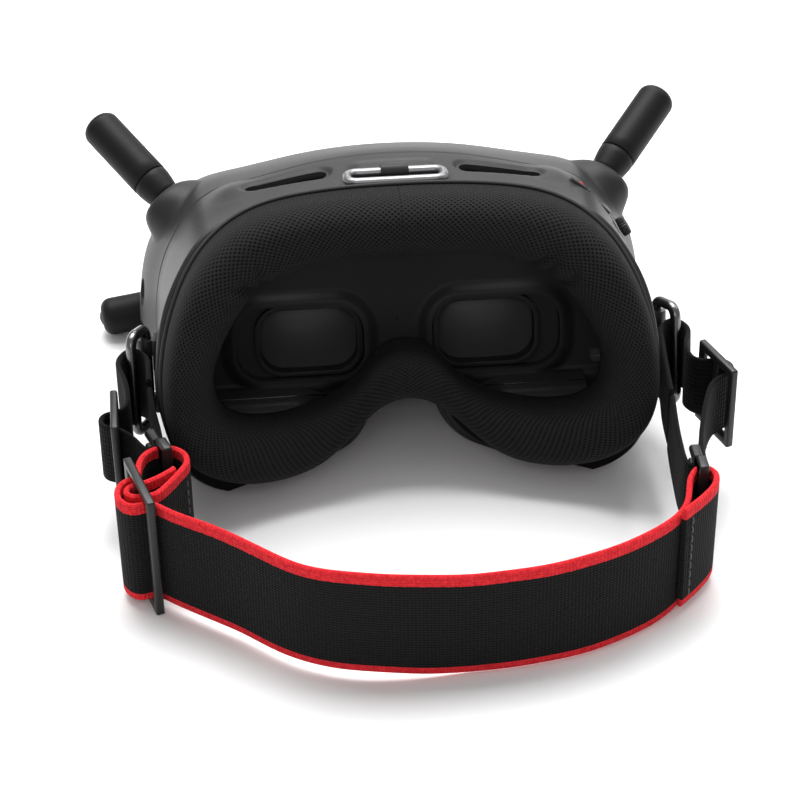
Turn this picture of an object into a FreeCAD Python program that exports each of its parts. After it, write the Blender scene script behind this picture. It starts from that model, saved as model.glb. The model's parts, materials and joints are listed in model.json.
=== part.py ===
"""FPV goggles with foam face pad, screw-on antennas and an elastic head strap.

The goggles are drawn in their own frame: X to the wearer's right, Y forward, Z up,
origin between the lenses where the face side meets the middle plane. They are then
pitched front-down by BASE_PITCH so that the flat base lies on Z = 0. The strap is drawn
straight in that standing frame, on edge on the ground behind the goggles.
"""
import FreeCAD, Part
import math
import os

V = FreeCAD.Vector

# ---------------------------------------------------------------- driving dimensions, mm
BASE_PITCH = 18.0          # slope of the base under the housing, degrees
BASE_START = (-3.0, -33.5)  # Y and Z of the base's rear edge
ORIGIN_Y = 55.0            # the row origin lies on the base at this Y
FACE_RADIUS = 130.0        # the face side wraps the head on this radius
WALL = 2.2
SEAM_Y = 30.0              # rear shell meets front cover
FRONT_Y = 86.0
LOWER_DEPTH = 40.0         # outline depth below the lenses, before the base cuts it

LENS_X = 29.5              # half of the smallest eye spacing
LENS_TRAVEL = 6.0          # each lens slides outward by this
LENS_SIZE = (32.0, 21.3)
BARREL_SIZE = (35.5, 24.0)
EYE_SLOT_SIZE = (42.5, 25.0)
BARREL_CORNER = 9.0
PLATE_Y = 26.0
PLATE_THICK = 2.5
GUIDE_ROD_R = 1.5
SLIDING_GAP = 0.05

FOAM_DEPTH = 22.0
GASKET_THICK = 2.0
FOAM_INSET = 2.5

ANTENNA_R = 6.5
ANTENNA_LENGTH = 40.0
ANTENNA_BASE_R = 5.4
POST_R = 3.1
POST_LENGTH = 7.0
FLANGE_R = 4.6
UPPER_POST = (73.5, 56.5, 43.5)
UPPER_AIM = (0.60, 0.52, 0.61)
LOWER_POST = (61.0, 78.3, 3.6)
LOWER_AIM = (0.985, -0.085, -0.12)
CORNER_NOTCH = (61.0, 68.5, 13.5)   # the lower front corners are open beyond these

RING_WIRE_R = 1.7
RING_HINGE = (81.9, 0.5)
RING_BAR = (86.2, -10.9)
RING_Z = (-16.5, 14.5)     # wire centres, bottom and top
KNUCKLE_H = 5.0

TOP_WIRE_R = 1.5
TOP_HINGE = (10.2, 58.8)   # Y, Z
TOP_BAR = (1.5, 57.6)
TOP_HALF = 15.3

FAN_CENTRE = (0.0, 77.0, 19.0)
FAN_R = 15.5

BAND_WIDTH = 36.0
BAND_THICK = 1.8
WEB_WIDTH = 21.0
WEB_THICK = 1.5

VENT_CENTRE = (34.5, 19.0)
VENT_SIZE = (25.0, 5.0)
DISPLAY_CENTRE = (44.0, 28.0)
DISPLAY_HALF = (7.0, 4.0)
VISOR_THICK = 1.8
KNOB_SLOT = (24.0, 41.0)   # X range of the thumb tab's slot
KNOB_Y = (38.0, 44.0)
PLATE_SCREWS = [(66.0, 26.0), (34.0, 40.0), (66.0, -10.0)]
PLATE_SCREW_R = 1.25
ROD_PLACES = [(46.0, 16.2), (34.0, -14.6)]
RING_SCREW_Z = (-9.0, 7.0)
RING_SCREW_R = 1.0
RING_SCREW_HEAD_R = 1.45

# The controls stand on the right upper bevel: X, Y, Z near the surface, and lean.
CONTROLS = {"record_button": (57.0, 15.5, 46.5, 0.62), "back_button": (64.3, 14.0, 39.5, 0.72),
            "joystick": (69.6, 14.5, 33.6, 0.86)}
CONTROL_HOLES = {"record_button": 3.9, "back_button": 3.0, "joystick": 5.4}
FRONT_BUTTONS = {"channel_up_button": (62.0, 33.5), "channel_down_button": (62.0, 22.5),
                 "link_button": (-62.0, 28.0)}
BUTTON_R = 2.6
BUTTON_GAP = 0.2

# Name, Y, Z and radius of each port; positive side is the wearer's right.
PORTS = {1: [("audio_jack", 54.0, 12.0, 3.4), ("av_in_jack", 54.0, 1.5, 3.4)],
         -1: [("power_jack", 53.0, 13.0, 4.6), ("usb_c_port", 53.0, 0.5, 0.0)]}
PORT_REACH = {1: 84.6, -1: 84.3}
PORT_DEPTH = 13.0
JACK_BORE_R = 1.8
POWER_BORE_R = 2.8
USB_HALF = (4.8, 2.0)      # socket body's half width and half height
USB_WALL = 0.7

HOOK_HALF = 1.5            # half thickness of the hook plates
HOOK_HEIGHT = 41.6
RIGHT_HOOK = ((82.2, -112.0), (0.0, -1.0))
LEFT_HOOK = ((-81.4, -87.8), (0.35, -0.937))
BIG_GLIDE = ((-87.3, -108.2), (-80.0, -132.0))
RIGHT_GLIDE = ((92.4, -67.6), (99.4, -86.6))
LEFT_GLIDE = ((-91.8, -72.5), (-91.2, -93.0))
BAND_MID = 2.8 + BAND_WIDTH / 2.0
HOOK_WEB_MID = 23.5

# Outline of the housing, as parts of its half width and of its height over the lenses.
CROWN = [(0.0, 1.0), (0.32, 0.995), (0.59, 0.972), (0.76, 0.91), (0.886, 0.70),
         (0.958, 0.47), (0.988, 0.26), (1.0, 0.0)]
BELLY = [(0.975, -0.32), (0.90, -0.70), (0.75, -0.93), (0.45, -1.0)]
# Y, half width, height over the lenses, how far the shoulders fall.
STATIONS = [(-60.0, 77.5, 51.0, 0.0), (-30.0, 78.6, 52.5, 0.0), (0.0, 79.0, 54.3, 0.01),
            (16.0, 79.0, 58.3, 0.05), (30.0, 79.8, 61.0, 0.09), (46.0, 83.6, 60.2, 0.09),
            (62.0, 85.8, 58.0, 0.09), (76.0, 84.2, 54.0, 0.08), (FRONT_Y, 80.0, 48.0, 0.06)]
NOSE_HALF = [(0.0, -11.0), (6.5, -11.3), (10.4, -13.5), (12.0, -18.0), (18.0, -27.5),
             (34.0, -36.0), (42.0, -60.0)]


# ---------------------------------------------------------------- drawing helpers
def slope():
    return math.tan(math.radians(BASE_PITCH))


def base_z(y):
    """Height of the base plane at a given Y."""
    return BASE_START[1] + slope() * (y - BASE_START[0])


def block(low, high):
    size = [high[i] - low[i] for i in range(3)]
    return Part.makeBox(size[0], size[1], size[2], V(*low))


def rod(start, end, radius):
    way = V(*end) - V(*start)
    return Part.makeCylinder(radius, way.Length, V(*start), way)


def disc(start, aim, radius, length):
    return Part.makeCylinder(radius, length, V(*start), V(*aim))


def along(start, aim, distance):
    unit = V(*aim).normalize()
    point = V(*start) + unit * distance
    return (point.x, point.y, point.z)


def mirrored(shape):
    return shape.mirror(V(0, 0, 0), V(1, 0, 0))


def mirror_point(point, side):
    return (point[0] * side, point[1], point[2])


def prism(points, depth):
    """Straight-sided outline, pushed along a depth vector."""
    ring = [V(*p) for p in points]
    wire = Part.makePolygon(ring + [ring[0]])
    return Part.Face(wire).extrude(V(*depth))


def rounded(width, height, corner, centre, y0, y1):
    """Rounded rectangle in X and Z, pushed from y0 to y1."""
    half_w = width / 2.0 - corner
    half_h = height / 2.0 - corner
    x, z = centre
    tall = block((x - half_w, y0, z - height / 2.0), (x + half_w, y1, z + height / 2.0))
    shape = tall
    if half_h > 0.01:
        wide = block((x - width / 2.0, y0, z - half_h), (x + width / 2.0, y1, z + half_h))
        shape = shape.fuse(wide)
    corners = {(sx * half_w, sz * max(half_h, 0.0)) for sx in (-1, 1) for sz in (-1, 1)}
    for cx, cz in sorted(corners):
        shape = shape.fuse(rod((x + cx, y0, z + cz), (x + cx, y1, z + cz), corner))
    return shape.removeSplitter()


def spline_edge(points, closed=False):
    curve = Part.BSplineCurve()
    curve.interpolate(Points=[V(*p) for p in points], PeriodicFlag=closed)
    return curve.toShape()


def turned(points):
    """Solid of revolution: points are radius and distance along Z."""
    ring = [V(r, 0, s) for r, s in points]
    face = Part.Face(Part.makePolygon(ring + [ring[0]]))
    return face.revolve(V(0, 0, 0), V(0, 0, 1), 360)


def stood(shape, start, aim):
    """Move a shape drawn along +Z so that it starts at a point and runs along aim."""
    copy = shape.copy()
    copy.Placement = FreeCAD.Placement(V(*start), FreeCAD.Rotation(V(0, 0, 1), V(*aim)))
    return copy


def single(shape):
    """The largest solid of a result."""
    return max(shape.Solids, key=lambda solid: solid.Volume)


# ---------------------------------------------------------------- frames
ORIGIN = V(0, ORIGIN_Y, base_z(ORIGIN_Y))
PITCH = FreeCAD.Rotation(V(1, 0, 0), -BASE_PITCH)
STANDING = FreeCAD.Placement(PITCH.multVec(ORIGIN * -1), PITCH)


def stand_up(shape):
    copy = shape.copy()
    copy.Placement = STANDING.multiply(copy.Placement)
    return copy


def standing(point):
    moved = STANDING.multVec(V(*point))
    return (moved.x, moved.y, moved.z)


# ---------------------------------------------------------------- housing volumes
def outline(station, inset):
    y, half_width, top, fall = station
    half = []
    for part_x, part_z in CROWN:
        drop = fall * math.sin(math.pi * part_x ** 2)
        half.append((half_width * part_x, top * (part_z - drop)))
    for part_x, part_z in BELLY:
        half.append((half_width * part_x, LOWER_DEPTH * part_z))
    half.append((0.0, -LOWER_DEPTH))
    ring = half + [(-x, z) for x, z in reversed(half[1:-1])]
    count = len(ring)
    points = []
    for i, (x, z) in enumerate(ring):
        before, after = ring[i - 1], ring[(i + 1) % count]
        tangent = V(after[0] - before[0], 0, after[1] - before[1]).normalize()
        points.append((x - inset * -tangent.z, y, z - inset * tangent.x))
    return points


def housing_volume(inset, front_y):
    """The housing's outside, or its inside when it is inset, before the base cut."""
    wires = []
    for station in STATIONS:
        y = front_y if station[0] == FRONT_Y else station[0]
        wire = Part.Wire(spline_edge(outline((y,) + station[1:], inset), True))
        wires.append(wire)
    return Part.makeLoft(wires, True, False)


def above_base(lift):
    """Everything over the base plane, lifted by a wall."""
    rise = lift / math.cos(math.radians(BASE_PITCH))
    corners = []
    for y in (-70.0, 130.0):
        corners.append((-120, y, base_z(y) + rise))
    corners += [(-120, 130, 120), (-120, -70, 120)]
    return prism(corners, (240, 0, 0))


def nose_cut(grow):
    """Arched notch over the nose; it climbs less than the base, so it runs out."""
    half = [(x + (grow if x > 0 else 0), z + (grow if z > -34 else 0)) for x, z in NOSE_HALF]
    points = [(-x, -60, z) for x, z in reversed(half[1:])] + [(x, -60, z) for x, z in half]
    curved = spline_edge(points)
    closing = Part.LineSegment(V(*points[-1]), V(*points[0])).toShape()
    face = Part.Face(Part.Wire([curved, closing]))
    face.translate(V(0, 0, 0.3 * 60))
    return face.extrude(V(0, 130, -0.3 * 130))


def corner_cuts(grow):
    x, y, z = CORNER_NOTCH
    cut = block((x - grow, y - grow, -60), (130, 130, z + grow))
    return cut.fuse(mirrored(cut))


def face_cylinder(radius):
    """The head's side of the curved face surface."""
    return Part.makeCylinder(radius, 260, V(0, -FACE_RADIUS, -130))


def boss_volume(grow):
    shapes = []
    for side in (-1, 1):
        post = mirror_point(UPPER_POST, side)
        aim = mirror_point(UPPER_AIM, side)
        shapes.append(rod(along(post, aim, -14.0), along(post, aim, -grow), 7.4 - grow))
    return shapes[0].fuse(shapes[1])


def make_volumes():
    outer = housing_volume(0.0, FRONT_Y).common(above_base(0.0))
    outer = outer.cut(nose_cut(0.0)).cut(corner_cuts(0.0))
    inner = housing_volume(WALL, FRONT_Y - WALL).common(above_base(WALL))
    inner = inner.cut(nose_cut(WALL)).cut(corner_cuts(WALL))
    return outer, inner


OUTER, INNER = make_volumes()


def surface_point(start, aim):
    """Where a line from outside first meets the housing."""
    end = along(start, aim, 90.0)
    line = Part.LineSegment(V(*start), V(*end)).toShape()
    inside = line.common(OUTER)
    found = min((v.Point for v in inside.Vertexes), key=lambda p: (p - V(*start)).Length)
    return (found.x, found.y, found.z)


def control_place(name):
    """Surface point and outward direction of one control."""
    x, y, z, lean = CONTROLS[name]
    aim = (lean, -0.10, math.sqrt(1.0 - lean * lean - 0.01))
    far = along((x, y, z), aim, 30.0)
    inward = (-aim[0], -aim[1], -aim[2])
    return surface_point(far, inward), aim


# ---------------------------------------------------------------- housing parts


def vent_cut(grow, low, high):
    half = VENT_SIZE[0] / 2.0 - VENT_SIZE[1] / 2.0
    radius = VENT_SIZE[1] / 2.0 + grow
    x, y = VENT_CENTRE
    slot = rod((x - half, y, low), (x - half, y, high), radius)
    slot = slot.fuse(rod((x + half, y, low), (x + half, y, high), radius))
    slot = slot.fuse(block((x - half, y - radius, low), (x + half, y + radius, high)))
    return slot.removeSplitter()


def control_holes():
    cut = None
    for name, radius in CONTROL_HOLES.items():
        point, aim = control_place(name)
        hole = rod(along(point, aim, -9.0), along(point, aim, 4.0), radius)
        cut = hole if cut is None else cut.fuse(hole)
    return cut


def rear_shell():
    head_side = face_cylinder(FACE_RADIUS)
    behind_seam = block((-120, -70, -70), (120, SEAM_Y, 90))
    wall = OUTER.cut(INNER).common(behind_seam).cut(head_side)
    lip_zone = face_cylinder(FACE_RADIUS + 2.0).cut(head_side)
    hole = housing_volume(WALL + 6.0, FRONT_Y - WALL).common(above_base(WALL + 6.0))
    hole = hole.cut(nose_cut(WALL + 5.0))
    lip = OUTER.common(lip_zone).common(behind_seam).cut(hole)
    shell = wall.fuse(lip)
    for cut in (vent_cut(0, 40, 70), mirrored(vent_cut(0, 40, 70)), control_holes()):
        shell = shell.cut(cut)
    for side in (-1, 1):
        notch = sorted((side * 4.5, side * 10.2))
        shell = shell.cut(block((notch[0], -4, 52.2), (notch[1], 4.5, 58.0)))
    return single(shell)


def front_cover():
    before_seam = block((-120, SEAM_Y, -70), (120, 130, 90))
    wall = OUTER.fuse(boss_volume(0.0)).cut(INNER.cut(boss_volume(0.0)))
    cover = wall.common(before_seam)
    for side in (-1, 1):
        post = mirror_point(UPPER_POST, side)
        aim = mirror_point(UPPER_AIM, side)
        cover = cover.cut(rod(along(post, aim, -30), along(post, aim, 1), POST_R))
        cover = cover.cut(rod(post, along(post, aim, 20), ANTENNA_R + 0.9))
        post = mirror_point(LOWER_POST, side)
        aim = mirror_point(LOWER_AIM, side)
        cover = cover.cut(rod(along(post, aim, -8), along(post, aim, 1), POST_R))
        cover = cover.cut(rod(post, along(post, aim, 20), FLANGE_R + 0.4))
        slot_x = sorted((side * KNOB_SLOT[0], side * KNOB_SLOT[1]))
        cover = cover.cut(block((slot_x[0], KNOB_Y[0], -30), (slot_x[1], KNOB_Y[1], -12)))
        cover = cover.cut(port_cuts(side))
    cover = cover.cut(disc(FAN_CENTRE, (0, 1, 0), FAN_R + 0.5, 20))
    for name in FRONT_BUTTONS:
        x, z = FRONT_BUTTONS[name]
        cover = cover.cut(rod((x, 70, z), (x, 95, z), BUTTON_R + BUTTON_GAP))
    cover = cover.cut(display_block(80, 95))
    return single(cover)


def visor_panel():
    """Glossy panel over the front wall, with the fan opening and the display window."""
    wire = Part.Wire(spline_edge(outline((FRONT_Y,) + STATIONS[-1][1:], 5.0), True))
    panel = Part.Face(wire).extrude(V(0, VISOR_THICK, 0)).common(above_base(4.0))
    panel = panel.cut(corner_cuts(3.0))
    panel = panel.cut(disc(FAN_CENTRE, (0, 1, 0), FAN_R + 2.5, 20))
    panel = panel.cut(display_block(80, 95))
    for x, z in FRONT_BUTTONS.values():
        panel = panel.cut(rod((x, 80, z), (x, 95, z), BUTTON_R + BUTTON_GAP))
    return single(panel)


def display_block(y0, y1):
    x, z = DISPLAY_CENTRE
    half_w, half_h = DISPLAY_HALF
    return block((x - half_w, y0, z - half_h), (x + half_w, y1, z + half_h))


def channel_display():
    return display_block(FRONT_Y - 1.5, FRONT_Y + VISOR_THICK - 0.2)


def intake_grille():
    """Round grille: a rim, a hub and bars across the fan's opening."""
    x, y, z = FAN_CENTRE
    start, top = FRONT_Y, FRONT_Y + VISOR_THICK
    outer = rod((x, start, z), (x, top, z), FAN_R + 2.5)
    grille = outer.cut(rod((x, start - 1, z), (x, top + 1, z), FAN_R - 0.5))
    for i in range(-3, 4):
        bar_z = z + i * 4.2
        reach = math.sqrt((FAN_R + 0.5) ** 2 - (i * 4.2) ** 2)
        grille = grille.fuse(block((x - reach, start, bar_z - 0.8), (x + reach, top - 0.3, bar_z + 0.8)))
    post = block((x - 1.0, start, z - FAN_R), (x + 1.0, top - 0.5, z + FAN_R))
    return grille.fuse(post).removeSplitter()


def rim_gasket():
    """Thin hook-tape seat for the foam, on the curved rear rim."""
    layer = face_cylinder(FACE_RADIUS).cut(face_cylinder(FACE_RADIUS - GASKET_THICK))
    outside = housing_volume(1.2, FRONT_Y).common(above_base(1.5)).cut(nose_cut(1.2))
    inside = housing_volume(WALL + 6.0, FRONT_Y).common(above_base(WALL + 6.0))
    inside = inside.cut(nose_cut(WALL + 5.0))
    ahead = block((-120, -60, -70), (120, 5, 90))
    return single(outside.cut(inside).common(layer).common(ahead))


FOAM_OUTER = [(0.0, 57.2), (30.0, 56.5), (50.0, 52.5), (62.0, 44.0), (71.0, 29.0), (76.0, 10.0),
              (76.0, -6.0), (70.5, -20.0), (58.0, -29.5), (43.0, -32.0), (29.0, -28.5),
              (18.5, -20.0), (9.6, -12.5), (0.0, -9.4)]
FOAM_INNER = [(0.0, 36.5), (34.0, 34.5), (46.0, 29.0), (57.0, 15.0), (60.8, 4.0), (57.5, -8.0),
              (47.0, -12.5), (34.0, -12.0), (23.0, -8.5), (14.0, -1.5), (8.0, 5.0), (0.0, 7.5)]


def column(half, grow):
    """Closed smooth outline around both halves, pushed through the foam's depth."""
    ring = [(x, z) for x, z in half] + [(-x, z) for x, z in reversed(half[1:-1])]
    points = []
    for i, (x, z) in enumerate(ring):
        before, after = ring[i - 1], ring[(i + 1) % len(ring)]
        tangent = V(after[0] - before[0], 0, after[1] - before[1]).normalize()
        points.append((x + grow * -tangent.z, -60.0, z + grow * tangent.x))
    return Part.Face(Part.Wire(spline_edge(points, True))).extrude(V(0, 70, 0))


def face_foam():
    """Ring of foam between the gasket and the wearer's face, arched over the nose."""
    front = FACE_RADIUS - GASKET_THICK - 0.3
    rear = face_cylinder(FACE_RADIUS)
    rear.translate(V(0, front - FACE_RADIUS - FOAM_DEPTH, 0))
    layer = face_cylinder(front).cut(rear)
    return single(column(FOAM_OUTER, 0.0).cut(column(FOAM_INNER, 0.0)).common(layer))


def face_plate():
    """Inner panel with a raised collar round each eye slot."""
    slab = block((-100, PLATE_Y, -60), (100, PLATE_Y + PLATE_THICK, 60))
    plate = INNER.common(slab)
    slot_x = LENS_X + LENS_TRAVEL / 2.0
    for side in (-1, 1):
        centre = (side * slot_x, 0.0)
        collar = rounded(EYE_SLOT_SIZE[0] + 4, EYE_SLOT_SIZE[1] + 4, BARREL_CORNER + 2.5, centre,
                         PLATE_Y - 1.6, PLATE_Y + PLATE_THICK)
        plate = plate.fuse(collar)
        for x, z in PLATE_SCREWS:
            plate = plate.cut(rod((side * x, PLATE_Y - 1, z), (side * x, PLATE_Y + 5, z), PLATE_SCREW_R))
    for side in (-1, 1):
        slot = rounded(EYE_SLOT_SIZE[0], EYE_SLOT_SIZE[1], BARREL_CORNER + 0.5,
                       (side * slot_x, 0.0), PLATE_Y - 3, PLATE_Y + 5)
        plate = plate.cut(slot)
    return single(plate.removeSplitter())


def plate_screws():
    """Small round-head screws, three on each side of the plate."""
    solids = []
    for side in (-1, 1):
        for x, z in PLATE_SCREWS:
            shank = rod((side * x, PLATE_Y, z), (side * x, PLATE_Y + 6, z), PLATE_SCREW_R)
            head = rod((side * x, PLATE_Y - 1.4, z), (side * x, PLATE_Y, z), 2.3)
            slot = block((side * x - 1.5, PLATE_Y - 2, z - 0.35), (side * x + 1.5, PLATE_Y - 0.8, z + 0.35))
            solids.append(shank.fuse(head).cut(slot).removeSplitter())
    return Part.makeCompound(solids)


# ---------------------------------------------------------------- optics


def guide_rods():
    """Two straight rods that both barrels slide on, end blocks included."""
    solids = []
    for y, z in ROD_PLACES:
        solids.append(rod((-59, y, z), (59, y, z), GUIDE_ROD_R))
    return Part.makeCompound(solids)


def lens_barrel(side):
    centre = (side * LENS_X, 0.0)
    barrel = rounded(BARREL_SIZE[0], BARREL_SIZE[1], BARREL_CORNER, centre, PLATE_Y + 0.6, 56.0)
    bore = rounded(LENS_SIZE[0], LENS_SIZE[1], BARREL_CORNER - 1.5, centre, 20.0, 37.5)
    light_path = rounded(27.0, 17.0, 3.0, centre, 20.0, 60.0)
    x = side * LENS_X
    upper_y, upper_z = ROD_PLACES[0]
    lower_y, lower_z = ROD_PLACES[1]
    ear = block((x - 9, upper_y - 4, 9.0), (x + 9, upper_y + 4, upper_z + 3.4))
    foot = block((x - 9, lower_y - 3.2, lower_z - 1.2), (x + 9, lower_y + 3.2, -9.0))
    barrel = barrel.fuse(ear).fuse(foot).cut(bore).cut(light_path)
    for y, z in ROD_PLACES:
        barrel = barrel.cut(rod((x - 20, y, z), (x + 20, y, z), GUIDE_ROD_R + SLIDING_GAP))
    return single(barrel.removeSplitter())


def lens(side):
    """Glass block with a rounded-rectangle edge and a domed eye side."""
    x = side * LENS_X
    blank = rounded(LENS_SIZE[0], LENS_SIZE[1], BARREL_CORNER - 1.5, (x, 0.0), 31.0, 37.5)
    dome = Part.makeSphere(60.0, V(x, 31.6 + 60.0, 0))
    return single(blank.common(dome))


def display_panel(side):
    x = side * LENS_X
    return block((x - 16, 56.0, -11.0), (x + 16, 58.4, 11.0))


def focus_knob(side):
    """Thumb tab in the base slot, on a neck from the barrel."""
    x = side * LENS_X
    neck = block((x - 3, KNOB_Y[0] + 1.0, -17.0), (x + 3, KNOB_Y[1] - 1.0, -12.0))
    points = []
    for y in (KNOB_Y[0] + 0.4, KNOB_Y[1] - 0.4):
        points.append((x - 5.0, y, base_z(y) + 0.5))
    points += [(x - 5.0, KNOB_Y[1] - 0.4, -16.2), (x - 5.0, KNOB_Y[0] + 0.4, -16.2)]
    tab = prism(points, (10.0, 0, 0))
    return neck.fuse(tab).removeSplitter()


# ---------------------------------------------------------------- electronics
def main_board():
    board = block((-58, 62.0, -5.5), (58, 63.6, 40.0))
    return board.cut(block((-12, 61, 34), (12, 65, 41)))


def heat_sink():
    """Finned plate between the board and the fan."""
    base = block((-24, 63.6, 1.0), (24, 65.2, 38.0))
    for i in range(-7, 8):
        base = base.fuse(block((i * 3.2 - 0.5, 65.2, 1.0), (i * 3.2 + 0.5, 70.5, 38.0)))
    return base.removeSplitter()


def fan_frame():
    x, y, z = FAN_CENTRE
    frame = block((x - 18, y - 5, z - 18), (x + 18, y + 5, z + 18))
    frame = frame.cut(rod((x, y - 6, z), (x, y + 6, z), FAN_R + 1.0))
    spider = rod((x, y - 5, z), (x, y - 2.6, z), 5.0)
    for i in range(3):
        strut = block((0.0, -4.9, -0.8), (FAN_R + 1.6, -3.4, 0.8))
        strut.rotate(V(0, 0, 0), V(0, 1, 0), 90 + 120 * i)
        strut.translate(V(x, y, z))
        spider = spider.fuse(strut)
    spider = spider.cut(rod((x, y - 6, z), (x, y, z), 1.0 + SLIDING_GAP))
    return frame.fuse(spider)


def fan_rotor():
    x, y, z = FAN_CENTRE
    rotor = rod((x, y - 2.2, z), (x, y + 4.0, z), 6.0)
    rotor = rotor.fuse(rod((x, y - 4.8, z), (x, y, z), 1.0))
    for i in range(7):
        blade = block((5.0, -0.5, -2.2), (FAN_R - 0.6, 0.5, 2.2))
        blade.rotate(V(0, 0, 0), V(1, 0, 0), 62)
        blade.rotate(V(0, 0, 0), V(0, 1, 0), 360.0 / 7 * i)
        blade.translate(V(x, y + 1.0, z))
        rotor = rotor.fuse(blade)
    return rotor.removeSplitter()


# ---------------------------------------------------------------- buttons
def oval_cap(point, aim, radius, stretch, low, high):
    """Oval button on a surface, its long way across the bevel."""
    half = stretch / 2.0
    cap = Part.makeCylinder(radius, high - low, V(-half, 0, low))
    cap = cap.fuse(Part.makeCylinder(radius, high - low, V(half, 0, low)))
    cap = cap.fuse(block((-half, -radius, low), (half, radius, high))).removeSplitter()
    out = V(*aim).normalize()
    across = V(0, 1, 0).cross(out).normalize()
    turn = FreeCAD.Rotation(across, out.cross(across), out, "ZXY")
    cap.Placement = FreeCAD.Placement(V(*point), turn)
    return cap


def record_button():
    point, aim = control_place("record_button")
    cap = oval_cap(point, aim, 2.2, 2.9, -1.2, 0.7)
    return cap.fuse(rod(along(point, aim, -6.0), along(point, aim, -1.0), 1.5)).removeSplitter()


def back_button():
    point, aim = control_place("back_button")
    cap = rod(along(point, aim, -1.2), along(point, aim, 0.6), 2.7)
    return cap.fuse(rod(along(point, aim, -6.0), along(point, aim, -1.0), 1.5)).removeSplitter()


def joystick_parts():
    """Plunger, gimbal cross and thumb cap of the five-way stick."""
    point, aim = control_place("joystick")
    plunger = rod(along(point, aim, -8.5), along(point, aim, -3.4), 2.0)
    pivot = along(point, aim, -1.6)
    gimbal = Part.makeSphere(1.6, V(*pivot))
    across = V(0, 1, 0).cross(V(*aim))
    for axis in (across, V(*aim).cross(across)):
        gimbal = gimbal.fuse(rod(along(pivot, axis, -2.6), along(pivot, axis, 2.6), 0.7))
    cap = rod(along(point, aim, 0.4), along(point, aim, 3.4), 3.1)
    dish = Part.makeSphere(6.0, V(*along(point, aim, 3.0 + 5.6)))
    cap = cap.cut(dish).fuse(rod(along(point, aim, 0.1), along(point, aim, 1.0), 1.2))
    return plunger, gimbal.removeSplitter(), cap.removeSplitter()


def front_button(name):
    x, z = FRONT_BUTTONS[name]
    top = FRONT_Y + VISOR_THICK + 0.9
    cap = rod((x, FRONT_Y - 1.0, z), (x, top, z), BUTTON_R)
    return cap.fuse(rod((x, FRONT_Y - 6.0, z), (x, FRONT_Y - 1.0, z), 1.6)).removeSplitter()


# ---------------------------------------------------------------- ports


def port_cuts(side):
    cut = None
    for name, y, z, radius in PORTS[side]:
        if radius:
            hole = rod((side * 60, y, z), (side * 110, y, z), radius)
        else:
            hole = usb_block(side * 60, side * 110, y, z, 0.0)
        cut = hole if cut is None else cut.fuse(hole)
    return cut


def sorted_box(first, second):
    low = tuple(min(first[i], second[i]) for i in range(3))
    high = tuple(max(first[i], second[i]) for i in range(3))
    return low, high


def usb_block(x0, x1, y, z, inset):
    """Block along X with the socket's section, walls taken off."""
    half_w, half_h = USB_HALF[0] - inset, USB_HALF[1] - inset
    return block(*sorted_box((x0, y - half_w, z - half_h), (x1, y + half_w, z + half_h)))


def port(side, name, y, z, radius):
    """Socket body flush with the housing's side, open outward."""
    outer_x = PORT_REACH[side] - 1.0
    start = (side * (outer_x - PORT_DEPTH - 2.0), y, z)
    end = (side * 100.0, y, z)
    if radius:
        bore_r = POWER_BORE_R if name == "power_jack" else JACK_BORE_R
        body = rod(start, end, radius)
        bore = rod((side * (outer_x - PORT_DEPTH), y, z), end, bore_r)
    else:
        body = usb_block(start[0], end[0], y, z, 0.0)
        bore = usb_block(side * (outer_x - 7), end[0], y, z, USB_WALL)
    body = body.common(block((-outer_x, -100, -100), (outer_x, 200, 100)))
    return single(body.cut(bore))


# ---------------------------------------------------------------- antennas
def antenna(post, aim):
    """Stub antenna: tapered collar, seam and round-ended stick, bored for its post."""
    r, b, n = ANTENNA_R, ANTENNA_BASE_R, ANTENNA_LENGTH
    points = [(POST_R + SLIDING_GAP, 1.4), (b, 1.4), (b + 0.6, 5.0), (r, 9.4), (r - 0.35, 9.6),
              (r - 0.35, 10.0), (r, 10.2), (r, n - 4.5), (r - 0.8, n - 2.0), (r - 2.6, n - 0.5),
              (r - 4.5, n), (0.0, n), (0.0, POST_LENGTH + 1.0), (POST_R + SLIDING_GAP, POST_LENGTH + 1.0)]
    return stood(turned(points), post, aim)


def antenna_post(post, aim):
    """Threaded coaxial post with a hexagon flange."""
    body = disc(along(post, aim, -6.0), aim, POST_R, POST_LENGTH + 6.0)
    flange = Part.makeCylinder(FLANGE_R, 1.0)
    flange = stood(flange, post, aim)
    pin_hole = disc(along(post, aim, 1.5), aim, 1.0, POST_LENGTH)
    return body.fuse(flange).cut(pin_hole).removeSplitter()


# ---------------------------------------------------------------- strap rings
def wire_loop(corners, radius, bend):
    """Closed round-wire loop through four corners, with rounded corners."""
    edges = []
    points = [V(*c) for c in corners]
    count = len(points)
    for i in range(count):
        here, after, later = points[i], points[(i + 1) % count], points[(i + 2) % count]
        run = (after - here).normalize()
        turn = (later - after).normalize()
        start = here + run * bend
        end = after - run * bend
        edges.append(Part.LineSegment(start, end).toShape())
        middle = after + (turn - run) * bend * (1.0 - math.sqrt(0.5))
        edges.append(Part.Arc(end, middle, after + turn * bend).toShape())
    path = Part.Wire(edges)
    first = points[0] + (points[1] - points[0]).normalize() * bend
    profile = Part.Wire(Part.makeCircle(radius, first, points[1] - points[0]))
    return path.makePipeShell([profile], True, False)


def side_ring(side):
    low, high = RING_Z
    corners = [(side * RING_HINGE[0], RING_HINGE[1], low), (side * RING_HINGE[0], RING_HINGE[1], high),
               (side * RING_BAR[0], RING_BAR[1], high), (side * RING_BAR[0], RING_BAR[1], low)]
    return Part.Solid(wire_loop(corners, RING_WIRE_R, 3.4))


def knuckle_spans():
    low, high = RING_Z
    return [(low + 3.6, low + 3.6 + KNUCKLE_H), (high - 3.6 - KNUCKLE_H, high - 3.6)]


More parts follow.
